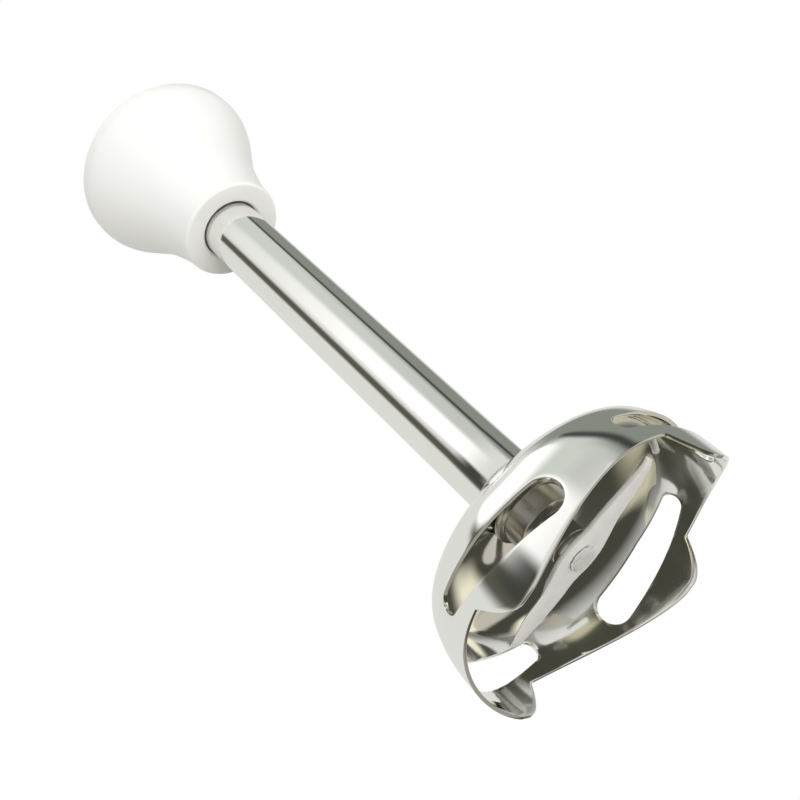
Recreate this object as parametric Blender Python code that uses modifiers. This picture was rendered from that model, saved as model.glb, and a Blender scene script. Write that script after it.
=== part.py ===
"""Immersion blender foot: a steel bell guard and tube, a white coupler, and the spindle that turns in them.

Metres, +Z up. The foot stands on the four lobes of its bell at z = 0, with +Z along the tube.
Fixed pieces hang from the empty foot_frame, turning ones from the empty spindle_axis.
"""

from math import acos, atan2, cos, hypot, pi, radians, sin

import bmesh
import bpy
from mathutils import Matrix, Vector

# Clearances
SEAT_GAP = 0.0003  # between pieces that seat on or in one another
RUN_GAP = 0.0003  # round the turning spindle and above its washers
OVERCUT = 0.002  # how far a cutter runs past the face it opens

# Bell guard, one pressed sheet
BELL_RADIUS = 0.0370
BELL_WALL = 0.0009
CROWN_SLANT = 1.3  # the crown's wall measured straight up, in thicknesses
SHOULDER_INSET = 0.0034  # from the widest radius in to the shoulder
SHOULDER_HEIGHT = 0.0222
CROWN_HEIGHT = 0.0325  # where the crown meets the fillet of the neck
NECK_HEIGHT = 0.0365
LOBES = 4
NOTCH_DEPTH = 0.0080
LOBE_ANGLE = radians(70)  # middle of the first lobe
LOBE_SPAN = radians(13)  # flat stretch that stands on the table
RISE_SPAN = radians(63)  # long slope from a lobe up to its notch
FALL_SPAN = radians(10)  # steep side of a notch
RISE_SHARPNESS = 1.3

# Flow slots, one for each lobe: a small round end and a large one
SLOT_SMALL_ANGLE = radians(45.6)
SLOT_SMALL_HEIGHT = 0.0148
SLOT_SMALL_RADIUS = 0.0026
SLOT_LARGE_ANGLE = radians(94.5)
SLOT_LARGE_HEIGHT = 0.0109
SLOT_LARGE_RADIUS = 0.0045

# Tube
TUBE_RADIUS = 0.009
TUBE_WALL = 0.0007
TUBE_SHOWING = 0.1283  # from the neck of the bell to the coupler

# Spindle and what turns with it
SPINDLE_RADIUS = 0.003
SPINDLE_TAIL_RADIUS = 0.0023  # through the knife
SPINDLE_HEAD_RADIUS = 0.0025  # in the drive dog
RIVET_RADIUS = 0.0034
RIVET_HEIGHT = 0.0010
KNIFE_REACH = 0.027
KNIFE_THICKNESS = 0.0012
KNIFE_HUB_RADIUS = 0.0069
KNIFE_ROOT_WIDTH = 0.0098
KNIFE_TIP_WIDTH = 0.0030
KNIFE_TAPER = 1.3  # over 1, the blades keep their width longer
KNIFE_TWIST = radians(7)
KNIFE_REST_ANGLE = radians(-17)
SPACER_RADIUS = 0.0050
SPACER_HEIGHT = 0.0066
WASHER_RADIUS = 0.0050
WASHER_THICKNESS = 0.0008
CIRCLIP_RADIUS = 0.0046
CIRCLIP_THICKNESS = 0.0008
CIRCLIP_GROOVE_DEPTH = 0.0007
CIRCLIP_MOUTH = radians(50)
DOG_RADIUS = 0.0072
DOG_HEIGHT = 0.0105
DOG_TOOTH_HEIGHT = 0.0040
DOG_TEETH = 6
DOG_PIN_RADIUS = 0.0010

# Lower bearing, hung under the crown
GASKET_RADIUS = 0.0094
GASKET_THICKNESS = 0.0012
FLANGE_RADIUS = 0.0098
FLANGE_THICKNESS = 0.0016
BOSS_RADIUS = 0.0084
BOSS_LENGTH = 0.0070
BOSS_CHAMFER = 0.0012
SEAL_RADIUS = 0.0060
SEAL_HEIGHT = 0.0036
BUSH_RADIUS = 0.0050
LOWER_BUSH_HEIGHT = 0.0140
FELT_HEIGHT = 0.0024
SPIGOT_RISE = 0.0090  # of the housing above the neck
O_RING_WIRE = 0.0007  # radius of the rubber ring's section

# Middle guide in the tube
GUIDE_HEIGHT = 0.014
GUIDE_LIP = 0.0025
GUIDE_WAIST = 0.0018  # how far its waist lies in from the tube

# Coupler
COUPLER_HEIGHT = 0.0445
COUPLER_RADIUS = 0.0289
COUPLER_WALL = 0.0024
COLLAR_RADIUS = 0.0153
COUPLER_WIDEST = 0.040  # height of the widest ring above the collar
RIM_ROUNDING = 0.0022
COLLAR_ROUNDING = 0.0010
COLLAR_LEAD_IN = 0.0007  # chamfer where the tube enters
FLOOR_THICKNESS = 0.0035
SLEEVE_THICKNESS = 0.0020
SLEEVE_HEIGHT = 0.0122
SLEEVE_CLEARANCE = 0.0027  # room for the stop ring between sleeve and core
FLARE = (  # shares of the height up to the widest ring, and of the growth in radius
    (0.0, 0.02),
    (0.19, 0.09),
    (0.44, 0.286),
    (0.6, 0.467),
    (0.755, 0.69),
    (0.9, 0.905),
    (0.97, 0.985),
    (1.0, 1.0),
)

# Core of the coupler, where the motor unit's nose locks on
CORE_FLANGE_THICKNESS = 0.0040
CORE_HEIGHT = 0.023
CORE_WALL = 0.0020
LUG_DEPTH = 0.0022
LUG_WIDTH = 0.0080
LUG_HEIGHT = 0.0030
LUG_DROP = 0.0032  # below the core's top
CARRIER_DEPTH = 0.0125  # of its spigot in the tube
CARRIER_FLANGE_HEIGHT = 0.0040
UPPER_BUSH_HEIGHT = 0.0150
BUSH_FLANGE_RADIUS = 0.0065
BUSH_FLANGE_THICKNESS = 0.0010

# Screws that hold core and shell together
SCREWS = 3
SCREW_ANGLE = radians(90)
SCREW_RADIUS = 0.0011
SCREW_LENGTH = 0.0125
SCREW_HEAD_RADIUS = 0.0019
SCREW_HEAD_HEIGHT = 0.0014
PILLAR_RADIUS = 0.0020

# How finely round pieces are cut
FINE = 48
MEDIUM = 28
COARSE = 20
SHARP_ANGLE = radians(35)

FOOT = "immersion_blender_foot"
CUTTERS = "cutters"

# Colour, roughness, metallic
FINISHES = {
    "polished_steel": ((0.72, 0.72, 0.70), 0.12, 1.0),
    "ground_steel": ((0.60, 0.60, 0.59), 0.30, 1.0),
    "spring_steel": ((0.22, 0.22, 0.24), 0.38, 1.0),
    "bronze": ((0.62, 0.42, 0.20), 0.42, 1.0),
    "white_plastic": ((0.90, 0.90, 0.89), 0.32, 0.0),
    "grey_plastic": ((0.36, 0.37, 0.38), 0.45, 0.0),
    "black_rubber": ((0.03, 0.03, 0.03), 0.70, 0.0),
    "felt": ((0.55, 0.52, 0.45), 0.95, 0.0),
}


# ---------------------------------------------------------------- scene


def clear_scene():
    for old in list(bpy.data.objects):
        bpy.data.objects.remove(old, do_unlink=True)


def add_collection(name):
    collection = bpy.data.collections.new(name)
    bpy.context.scene.collection.children.link(collection)
    return collection


def add_empty(name):
    empty = bpy.data.objects.new(name, None)
    bpy.data.collections[FOOT].objects.link(empty)
    return empty


def finish_of(name):
    """A Principled material of the named finish, made once."""
    if name in bpy.data.materials:
        return bpy.data.materials[name]
    colour, roughness, metallic = FINISHES[name]
    material = bpy.data.materials.new(name)
    material.use_nodes = True
    shader = material.node_tree.nodes["Principled BSDF"]
    shader.inputs["Base Color"].default_value = (*colour, 1.0)
    shader.inputs["Roughness"].default_value = roughness
    shader.inputs["Metallic"].default_value = metallic
    return material


def add_piece(name, mesh, finish, parent, base=0.0):
    piece = bpy.data.objects.new(name, mesh)
    bpy.data.collections[FOOT].objects.link(piece)
    piece.parent = bpy.data.objects[parent]
    piece.location.z = base
    mesh.materials.append(finish_of(finish))
    return piece


def add_cutter(name, mesh, base=0.0, angle=0.0):
    cutter = bpy.data.objects.new(name, mesh)
    bpy.data.collections[CUTTERS].objects.link(cutter)
    cutter.location.z = base
    cutter.rotation_euler.z = angle
    cutter.hide_render = True
    cutter.display_type = "WIRE"
    return cutter


# ---------------------------------------------------------------- shapes


def smooth_curve(points, steps):
    """Points of a Catmull-Rom curve through the given ones, with this many steps between each two."""
    knots = [Vector(p) for p in points]
    knots = [2 * knots[0] - knots[1], *knots, 2 * knots[-1] - knots[-2]]
    curve = []
    for before, start, end, after in zip(knots, knots[1:], knots[2:], knots[3:]):
        for step in range(steps):
            t = step / steps
            bend = (2 * before - 5 * start + 4 * end - after) * t * t
            twist = (3 * start - before - 3 * end + after) * t**3
            curve.append((2 * start + (end - before) * t + bend + twist) / 2)
    return [tuple(point) for point in curve] + [tuple(knots[-2])]


def height_at(outline, radius):
    """Height of an outline, given from its top down and outwards, at a radius."""
    for (r0, z0), (r1, z1) in zip(outline, outline[1:]):
        if r0 <= radius <= r1 and r1 > r0:
            return z0 + (z1 - z0) * (radius - r0) / (r1 - r0)
    return outline[-1][1]


def profile_mesh(name, profile, closed):
    mesh = bpy.data.meshes.new(name)
    edges = [(i, i + 1) for i in range(len(profile) - 1)]
    if closed:
        edges.append((len(profile) - 1, 0))
    mesh.from_pydata([(r, 0.0, z) for r, z in profile], edges, [])
    return mesh


def add_screw(piece, segments):
    screw = piece.modifiers.new("turn", "SCREW")
    screw.axis = "Z"
    screw.steps = segments
    screw.render_steps = segments
    screw.use_merge_vertices = True
    screw.merge_threshold = 0.00001
    screw.use_smooth_shade = True


def turned(name, profile, finish, parent, base=0.0, segments=COARSE, closed=True):
    """A turned piece. The profile runs down the outer side, then in, and back up the bore."""
    piece = add_piece(name, profile_mesh(name, profile, closed), finish, parent, base)
    add_screw(piece, segments)
    return piece


def ring_profile(outer, inner, height):
    return [(outer, height), (outer, 0.0), (inner, 0.0), (inner, height)]


def circle_profile(major, minor, steps):
    return [
        (major + minor * sin(2 * pi * i / steps), minor * cos(2 * pi * i / steps))
        for i in range(steps)
    ]


def cylinder_mesh(name, radius, low, high, segments=COARSE, at=(0.0, 0.0)):
    mesh = bpy.data.meshes.new(name)
    shape = bmesh.new()
    bmesh.ops.create_cone(
        shape,
        cap_ends=True,
        segments=segments,
        radius1=radius,
        radius2=radius,
        depth=high - low,
        matrix=Matrix.Translation((at[0], at[1], (high + low) / 2)),
    )
    shape.to_mesh(mesh)
    shape.free()
    return mesh


def block_mesh(name, low, high):
    mesh = bpy.data.meshes.new(name)
    shape = bmesh.new()
    low, high = Vector(low), Vector(high)
    size = Matrix.Diagonal((*(high - low), 1.0))
    bmesh.ops.create_cube(shape, size=1.0, matrix=Matrix.Translation((low + high) / 2) @ size)
    shape.to_mesh(mesh)
    shape.free()
    return mesh


def outline_mesh(name, outline, depth, place):
    """A flat outline in x and y, extruded along z to this depth, then put in place by a matrix."""
    curve = bpy.data.curves.new(name, "CURVE")
    curve.dimensions = "2D"
    curve.fill_mode = "BOTH"
    curve.extrude = depth / 2
    spline = curve.splines.new("POLY")
    spline.points.add(len(outline) - 1)
    for point, (x, y) in zip(spline.points, outline):
        point.co = (x, y, 0.0, 1.0)
    spline.use_cyclic_u = True
    source = bpy.data.objects.new(name, curve)
    bpy.context.scene.collection.objects.link(source)
    graph = bpy.context.evaluated_depsgraph_get()
    mesh = bpy.data.meshes.new_from_object(source.evaluated_get(graph))
    bpy.data.objects.remove(source)
    bpy.data.curves.remove(curve)
    shape = bmesh.new()
    shape.from_mesh(mesh)
    bmesh.ops.remove_doubles(shape, verts=shape.verts, dist=0.000001)
    bmesh.ops.transform(shape, matrix=place, verts=shape.verts)
    bmesh.ops.recalc_face_normals(shape, faces=shape.faces)
    shape.to_mesh(mesh)
    shape.free()
    return mesh


def cut(piece, cutter, operation="DIFFERENCE"):
    boolean = piece.modifiers.new(cutter.name, "BOOLEAN")
    boolean.operation = operation
    boolean.solver = "EXACT"
    boolean.object = cutter


def apply_modifiers(piece):
    """Keeps the finished shape as a plain mesh, smooth except at its sharp edges."""
    graph = bpy.context.evaluated_depsgraph_get()
    mesh = bpy.data.meshes.new_from_object(piece.evaluated_get(graph))
    piece.modifiers.clear()
    piece.data = mesh
    mesh.name = piece.name
    mesh.shade_smooth()
    mesh.set_sharp_from_angle(angle=SHARP_ANGLE)


# ---------------------------------------------------------------- heights shared by several pieces


def bell_outline():
    """Outer side of the bell from the top of its neck down to its rim."""
    shoulder = BELL_RADIUS - SHOULDER_INSET
    reach = shoulder - TUBE_RADIUS
    drop = CROWN_HEIGHT - SHOULDER_HEIGHT
    wall = BELL_RADIUS - shoulder
    return smooth_curve(
        (
            (TUBE_RADIUS, NECK_HEIGHT),
            (TUBE_RADIUS, CROWN_HEIGHT + 0.45 * (NECK_HEIGHT - CROWN_HEIGHT)),
            (TUBE_RADIUS + 0.065 * reach, CROWN_HEIGHT),
            (TUBE_RADIUS + 0.28 * reach, CROWN_HEIGHT - 0.19 * drop),
            (TUBE_RADIUS + 0.63 * reach, CROWN_HEIGHT - 0.46 * drop),
            (TUBE_RADIUS + 0.88 * reach, CROWN_HEIGHT - 0.74 * drop),
            (shoulder, SHOULDER_HEIGHT),
            (shoulder + 0.52 * wall, 0.80 * SHOULDER_HEIGHT),
            (shoulder + 0.88 * wall, 0.58 * SHOULDER_HEIGHT),
            (BELL_RADIUS, 0.30 * SHOULDER_HEIGHT),
            (BELL_RADIUS, -OVERCUT),
        ),
        2,
    )


def coupler_base():
    return NECK_HEIGHT + TUBE_SHOWING


def gasket_top():
    """The gasket seats under the crown, just outside the neck."""
    under = height_at(bell_outline(), GASKET_RADIUS + BELL_WALL) - CROWN_SLANT * BELL_WALL
    return under - SEAT_GAP


def flange_top():
    return gasket_top() - GASKET_THICKNESS - SEAT_GAP


def boss_bottom():
    return flange_top() - FLANGE_THICKNESS - BOSS_LENGTH


def washer_base():
    return boss_bottom() - RUN_GAP - WASHER_THICKNESS


def spacer_base():
    return washer_base() - SEAT_GAP - SPACER_HEIGHT


def knife_base():
    return spacer_base() - SEAT_GAP - KNIFE_THICKNESS


def lower_bush_base():
    return boss_bottom() + SEAL_HEIGHT + 3 * SEAT_GAP


def felt_base():
    return lower_bush_base() + LOWER_BUSH_HEIGHT + SEAT_GAP


def lower_circlip_base():
    return felt_base() + FELT_HEIGHT + 2 * RUN_GAP


def core_base():
    return coupler_base() + SLEEVE_HEIGHT + 2 * SEAT_GAP + SLEEVE_CLEARANCE


def tube_top():
    return core_base() + CORE_FLANGE_THICKNESS / 2 - SEAT_GAP


def carrier_top():
    return tube_top() + SEAT_GAP + CARRIER_FLANGE_HEIGHT


def upper_washer_base():
    return carrier_top() + SEAT_GAP + BUSH_FLANGE_THICKNESS + RUN_GAP


def upper_circlip_base():
    return upper_washer_base() + WASHER_THICKNESS + RUN_GAP


def dog_base():
    return upper_circlip_base() + CIRCLIP_THICKNESS + RUN_GAP


def shaft_hole():
    return SPINDLE_RADIUS + RUN_GAP


def bush_hole():
    return BUSH_RADIUS + SEAT_GAP


def tube_bore():
    return TUBE_RADIUS - TUBE_WALL


def spigot_radius():
    """The bell's wall is thicker than the tube's, so the neck decides it."""
    return TUBE_RADIUS - max(BELL_WALL, TUBE_WALL) - SEAT_GAP


# ---------------------------------------------------------------- bell guard


def rim_height(angle):
    """Height of the rim: a flat lobe, a long slope up to a notch, and a steep side down to the next lobe."""
    pitch = 2 * pi / LOBES
    lobe_end = LOBE_SPAN / 2
    turn = (angle - LOBE_ANGLE + lobe_end) % pitch
    if turn <= LOBE_SPAN:
        return 0.0
    if turn <= LOBE_SPAN + RISE_SPAN:
        rise = sin(pi / 2 * (turn - LOBE_SPAN) / RISE_SPAN)
        return NOTCH_DEPTH * rise**RISE_SHARPNESS
    if turn <= pitch - FALL_SPAN:
        return NOTCH_DEPTH
    fall = (pitch - turn) / FALL_SPAN
    return NOTCH_DEPTH * fall * fall * (3 - 2 * fall)


def rim_cutter():
    """A ring under the bell whose top follows the rim."""
    shape = bmesh.new()
    inner, outer = BELL_RADIUS - 4 * BELL_WALL, BELL_RADIUS + OVERCUT
    low = -2 * OVERCUT
    corners = [
        shape.verts.new((r, 0.0, z)) for r, z in ((outer, 0.0), (outer, low), (inner, low), (inner, 0.0))
    ]
    edges = [shape.edges.new((corners[i], corners[(i + 1) % 4])) for i in range(4)]
    steps = LOBES * 24
    bmesh.ops.spin(
        shape, geom=corners + edges, axis=(0, 0, 1), cent=(0, 0, 0), angle=2 * pi, steps=steps, use_merge=True
    )
    for vert in shape.verts:
        if vert.co.z > low / 2:
            vert.co.z = rim_height(atan2(vert.co.y, vert.co.x))
    bmesh.ops.recalc_face_normals(shape, faces=shape.faces)
    mesh = bpy.data.meshes.new("rim_cutter")
    shape.to_mesh(mesh)
    shape.free()
    return add_cutter("rim_cutter", mesh)


def slot_outline(steps=7):
    """A slot laid flat: x along the wall from its middle, y up. Two round ends and their common tangents."""
    middle = (SLOT_SMALL_ANGLE + SLOT_LARGE_ANGLE) / 2
    ends = [
        (BELL_RADIUS * sin(SLOT_SMALL_ANGLE - middle), SLOT_SMALL_HEIGHT, SLOT_SMALL_RADIUS),
        (BELL_RADIUS * sin(SLOT_LARGE_ANGLE - middle), SLOT_LARGE_HEIGHT, SLOT_LARGE_RADIUS),
    ]
    (x0, y0, r0), (x1, y1, r1) = ends
    heading = atan2(y1 - y0, x1 - x0)
    lean = acos((r0 - r1) / hypot(x1 - x0, y1 - y0))
    outline = []
    for x, y, r, start, span in (
        (x1, y1, r1, heading - lean, 2 * lean),
        (x0, y0, r0, heading + lean, 2 * (pi - lean)),
    ):
        for step in range(steps + 1):
            angle = start + span * step / steps
            outline.append((x + r * cos(angle), y + r * sin(angle)))
    return outline


def slot_cutters():
    middle = (SLOT_SMALL_ANGLE + SLOT_LARGE_ANGLE) / 2
    depth = BELL_RADIUS
    for i in range(LOBES):
        angle = middle + 2 * pi * i / LOBES
        outward = Vector((cos(angle), sin(angle), 0.0))
        along = Vector((-sin(angle), cos(angle), 0.0))
        place = Matrix((along, Vector((0, 0, 1)), outward)).transposed().to_4x4()
        place.translation = outward * (0.7 * BELL_RADIUS + depth / 2)
        mesh = outline_mesh(f"slot_cutter_{i + 1}", slot_outline(), depth, place)
        yield add_cutter(mesh.name, mesh)


def bell_guard():
    outline = bell_outline()
    bell = turned("bell_guard", outline, "polished_steel", "foot_frame", segments=FINE, closed=False)
    wall = bell.modifiers.new("wall", "SOLIDIFY")
    wall.thickness = BELL_WALL
    wall.offset = -1.0
    wall.use_even_offset = True
    cut(bell, rim_cutter())
    for cutter in slot_cutters():
        cut(bell, cutter)
    apply_modifiers(bell)


# ---------------------------------------------------------------- tube and lower bearing


def shaft_tube():
    base = NECK_HEIGHT + SEAT_GAP
    profile = ring_profile(TUBE_RADIUS, tube_bore(), tube_top() - base)
    turned("shaft_tube", profile, "polished_steel", "foot_frame", base, FINE)


def bearing_housing():
    """Flanged carrier: a spigot up through neck and tube, a boss down to the knife, a pocket for the seal."""
    spigot = spigot_radius()
    top = NECK_HEIGHT + SPIGOT_RISE
    groove = tube_bore() - 2 * O_RING_WIRE - SEAT_GAP
    ring_height = NECK_HEIGHT + SPIGOT_RISE / 2
    half_groove = O_RING_WIRE + SEAT_GAP
    flange_bottom = flange_top() - FLANGE_THICKNESS
    pocket = SEAL_RADIUS + SEAT_GAP
    pocket_top = boss_bottom() + SEAL_HEIGHT + 2 * SEAT_GAP
    profile = [
        (spigot, top),
        (spigot, ring_height + half_groove),
        (groove, ring_height + half_groove),
        (groove, ring_height - half_groove),
        (spigot, ring_height - half_groove),
        (spigot, flange_top()),
        (FLANGE_RADIUS, flange_top()),
        (FLANGE_RADIUS, flange_bottom),
        (BOSS_RADIUS, flange_bottom),
        (BOSS_RADIUS, boss_bottom() + BOSS_CHAMFER),
        (BOSS_RADIUS - BOSS_CHAMFER, boss_bottom()),
        (pocket, boss_bottom()),
        (pocket, pocket_top),
        (bush_hole(), pocket_top),
        (bush_hole(), top),
    ]
    turned("bearing_housing", profile, "ground_steel", "foot_frame", segments=MEDIUM)


def housing_gasket():
    profile = ring_profile(GASKET_RADIUS, spigot_radius() + SEAT_GAP, GASKET_THICKNESS)
    turned("housing_gasket", profile, "black_rubber", "foot_frame", gasket_top() - GASKET_THICKNESS)


def housing_o_ring():
    major = tube_bore() - O_RING_WIRE - SEAT_GAP / 2
    height = NECK_HEIGHT + SPIGOT_RISE / 2
    turned("housing_o_ring", circle_profile(major, O_RING_WIRE, 8), "black_rubber", "foot_frame", height)


def lower_bush():
    profile = ring_profile(BUSH_RADIUS, shaft_hole(), LOWER_BUSH_HEIGHT)
    turned("lower_bush", profile, "bronze", "foot_frame", lower_bush_base())


def felt_washer():
    profile = ring_profile(BUSH_RADIUS, shaft_hole(), FELT_HEIGHT)
    turned("felt_washer", profile, "felt", "foot_frame", felt_base())


def shaft_seal():
    """Lip seal: a full ring at its back, thinned to a lip at the knife's end."""
    lip = shaft_hole()
    body = (lip + SEAL_RADIUS) / 2
    third = SEAL_HEIGHT / 3
    profile = [
        (SEAL_RADIUS, SEAL_HEIGHT),
        (SEAL_RADIUS, 0.0),
        (SEAL_RADIUS - third, 0.0),
        (body, 2 * third),
        (lip + third / 2, third / 2),
        (lip, third / 2),
        (lip, SEAL_HEIGHT),
    ]
    turned("shaft_seal", profile, "black_rubber", "foot_frame", boss_bottom() + SEAT_GAP)


def shaft_guide():
    """Plastic guide that keeps the long spindle from whipping in the tube."""
    outer = tube_bore() - SEAT_GAP
    waist = outer - GUIDE_WAIST
    profile = [
        (outer, GUIDE_HEIGHT),
        (outer, GUIDE_HEIGHT - GUIDE_LIP),
        (waist, GUIDE_HEIGHT - 2 * GUIDE_LIP),
        (waist, 2 * GUIDE_LIP),
        (outer, GUIDE_LIP),
        (outer, 0.0),
        (shaft_hole(), 0.0),
        (shaft_hole(), GUIDE_HEIGHT),
    ]
    base = NECK_HEIGHT + (TUBE_SHOWING - GUIDE_HEIGHT) / 2
    turned("shaft_guide", profile, "grey_plastic", "foot_frame", base)


# ---------------------------------------------------------------- coupler


def coupler_radius(height):
    """Outer radius of the shell at a height above the collar's face."""
    share = min(max(height / COUPLER_WIDEST, 0.0), 1.0)
    for (t0, f0), (t1, f1) in zip(FLARE_CURVE, FLARE_CURVE[1:]):
        if t0 <= share <= t1:
            growth = f0 + (f1 - f0) * (share - t0) / (t1 - t0)
            return COLLAR_RADIUS + (COUPLER_RADIUS - COLLAR_RADIUS) * growth
    return COUPLER_RADIUS


FLARE_CURVE = smooth_curve(FLARE, 3)


def quarter(centre_r, centre_z, radius, start, steps=3):
    """A rounded corner, turning clockwise through a right angle from this heading."""
    return [
        (
            centre_r + radius * cos(start - pi / 2 * i / steps),
            centre_z + radius * sin(start - pi / 2 * i / steps),
        )
        for i in range(steps + 1)
    ]


def shell_profile():
    """Flared shell from its top rim down, with a floor and a sleeve round the tube."""
    bore = TUBE_RADIUS + SEAT_GAP
    inner_rim = COUPLER_RADIUS - COUPLER_WALL
    rim = quarter(COUPLER_RADIUS - RIM_ROUNDING, COUPLER_HEIGHT - RIM_ROUNDING, RIM_ROUNDING, pi / 2)
    heights = [COUPLER_WIDEST * (1 - i / 9) for i in range(9)]
    flare = [(coupler_radius(z), z) for z in heights]
    corner = coupler_radius(COLLAR_ROUNDING) - COLLAR_ROUNDING
    collar = quarter(corner, COLLAR_ROUNDING, COLLAR_ROUNDING, 0.0)
    inner_heights = [FLOOR_THICKNESS + (COUPLER_WIDEST - FLOOR_THICKNESS) * i / 7 for i in range(8)]
    inside = [(coupler_radius(z) - COUPLER_WALL, z) for z in inner_heights]
    return [
        *rim,
        *flare,
        *collar,
        (bore + COLLAR_LEAD_IN, 0.0),
        (bore, COLLAR_LEAD_IN),
        (bore, SLEEVE_HEIGHT),
        (bore + SLEEVE_THICKNESS, SLEEVE_HEIGHT),
        (bore + SLEEVE_THICKNESS, FLOOR_THICKNESS),
        *inside,
        (inner_rim, COUPLER_HEIGHT),
    ]


def screw_circle():
    """The heads stand just inside the core's wall."""
    return core_radius() - CORE_WALL - SCREW_HEAD_RADIUS - SEAT_GAP


def screw_places():
    for i in range(SCREWS):
        angle = SCREW_ANGLE + 2 * pi * i / SCREWS
        yield i + 1, screw_circle() * cos(angle), screw_circle() * sin(angle)


def coupler_shell():
    """The white flared shell, with a screw pillar for each screw."""
    shell = turned("coupler_shell", shell_profile(), "white_plastic", "foot_frame", coupler_base(), FINE)
    low = coupler_base() + FLOOR_THICKNESS / 2
    high = core_base() - SEAT_GAP
    for number, x, y in screw_places():
        pillar = cylinder_mesh(f"pillar_{number}", PILLAR_RADIUS, low, high, 16, (x, y))
        cut(shell, add_cutter(pillar.name, pillar), "UNION")
    for number, x, y in screw_places():
        deepest = high + CORE_FLANGE_THICKNESS - SCREW_LENGTH - 2 * SEAT_GAP
        pilot = cylinder_mesh(
            f"pilot_{number}", SCREW_RADIUS + SEAT_GAP, deepest, high + OVERCUT, 12, (x, y)
        )
        cut(shell, add_cutter(pilot.name, pilot))
    apply_modifiers(shell)


def core_radius():
    """Radius of the core's wall, which has to pass the shell where its flange ends."""
    height = core_base() + CORE_FLANGE_THICKNESS - coupler_base()
    return coupler_radius(height) - COUPLER_WALL - 2 * SEAT_GAP


def core_flange_radius():
    return coupler_radius(core_base() - coupler_base()) - COUPLER_WALL - SEAT_GAP


def seal_groove_height():
    return CORE_HEIGHT * 0.42


def coupler_core():
    """Inner socket of the coupler with bayonet lugs round its wall."""
    wall = core_radius()
    flange = core_flange_radius()
    groove = wall - O_RING_WIRE
    middle = seal_groove_height()
    half_groove = O_RING_WIRE + SEAT_GAP
    profile = [
        (wall, CORE_HEIGHT),
        (wall, middle + half_groove),
        (groove, middle + half_groove),
        (groove, middle - half_groove),
        (wall, middle - half_groove),
        (wall, CORE_FLANGE_THICKNESS + SEAT_GAP),
        (flange, CORE_FLANGE_THICKNESS / 2),
        (flange, 0.0),
        (TUBE_RADIUS + SEAT_GAP, 0.0),
        (TUBE_RADIUS + SEAT_GAP, CORE_FLANGE_THICKNESS),
        (wall - CORE_WALL, CORE_FLANGE_THICKNESS),
        (wall - CORE_WALL, CORE_HEIGHT),
    ]
    core = turned("coupler_core", profile, "grey_plastic", "foot_frame", core_base(), MEDIUM)
    lug_top = core_base() + CORE_HEIGHT - LUG_DROP
    for i in range(SCREWS):
        low = (wall - CORE_WALL / 2, -LUG_WIDTH / 2, lug_top - LUG_HEIGHT)
        high = (wall + LUG_DEPTH, LUG_WIDTH / 2, lug_top)
        lug = block_mesh(f"lug_{i + 1}", low, high)
        cut(core, add_cutter(lug.name, lug, angle=SCREW_ANGLE + 2 * pi * (i + 0.5) / SCREWS), "UNION")
    for number, x, y in screw_places():
        hole = cylinder_mesh(
            f"core_hole_{number}",
            SCREW_RADIUS + SEAT_GAP,
            core_base() - OVERCUT,
            core_base() + CORE_FLANGE_THICKNESS + OVERCUT,
            12,
            (x, y),
        )
        cut(core, add_cutter(hole.name, hole))
    apply_modifiers(core)


def coupler_seal_ring():
    major = core_radius() + SEAT_GAP
    height = core_base() + seal_groove_height()
    section = circle_profile(major, O_RING_WIRE, 8)
    turned("coupler_seal_ring", section, "black_rubber", "foot_frame", height, MEDIUM)


def tube_stop_ring():
    """Ring welded on the tube, held between the shell's sleeve and the core, and inside the pillars."""
    base = coupler_base() + SLEEVE_HEIGHT + SEAT_GAP
    outer = screw_circle() - PILLAR_RADIUS - SEAT_GAP
    profile = ring_profile(outer, TUBE_RADIUS + SEAT_GAP, core_base() - SEAT_GAP - base)
    turned("tube_stop_ring", profile, "ground_steel", "foot_frame", base)


def bearing_carrier():
    """Plug in the top of the tube that holds the upper bush."""
    spigot = tube_bore() - SEAT_GAP
    flange_base = tube_top() + SEAT_GAP
    base = flange_base - CARRIER_DEPTH
    profile = [
        (TUBE_RADIUS, carrier_top() - base),
        (TUBE_RADIUS, flange_base - base),
        (spigot, flange_base - base),
        (spigot, 0.0),
        (bush_hole(), 0.0),
        (bush_hole(), carrier_top() - base),
    ]
    turned("bearing_carrier", profile, "grey_plastic", "foot_frame", base)


def upper_bush():
    base = carrier_top() + SEAT_GAP - UPPER_BUSH_HEIGHT
    top = UPPER_BUSH_HEIGHT + BUSH_FLANGE_THICKNESS
    profile = [
        (BUSH_FLANGE_RADIUS, top),
        (BUSH_FLANGE_RADIUS, UPPER_BUSH_HEIGHT),
        (BUSH_RADIUS, UPPER_BUSH_HEIGHT),
        (BUSH_RADIUS, 0.0),
        (shaft_hole(), 0.0),
        (shaft_hole(), top),
    ]
    turned("upper_bush", profile, "bronze", "foot_frame", base)


def coupler_screws():
    """Pan-head screws from the core down into the shell's pillars."""
    seat = core_base() + CORE_FLANGE_THICKNESS + SEAT_GAP
    profile = [
        (0.0, SCREW_HEAD_HEIGHT),
        (0.7 * SCREW_HEAD_RADIUS, SCREW_HEAD_HEIGHT),
        (SCREW_HEAD_RADIUS, SCREW_HEAD_HEIGHT / 2),
        (SCREW_HEAD_RADIUS, 0.0),
        (SCREW_RADIUS, 0.0),
        (SCREW_RADIUS, -SCREW_LENGTH + SCREW_RADIUS),
        (0.0, -SCREW_LENGTH),
    ]
    for number, x, y in screw_places():
        screw = turned(
            f"coupler_screw_{number}", profile, "ground_steel", "foot_frame", seat, 12, closed=False
        )
        screw.location.x = x
        screw.location.y = y


# ---------------------------------------------------------------- turning pieces


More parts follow.
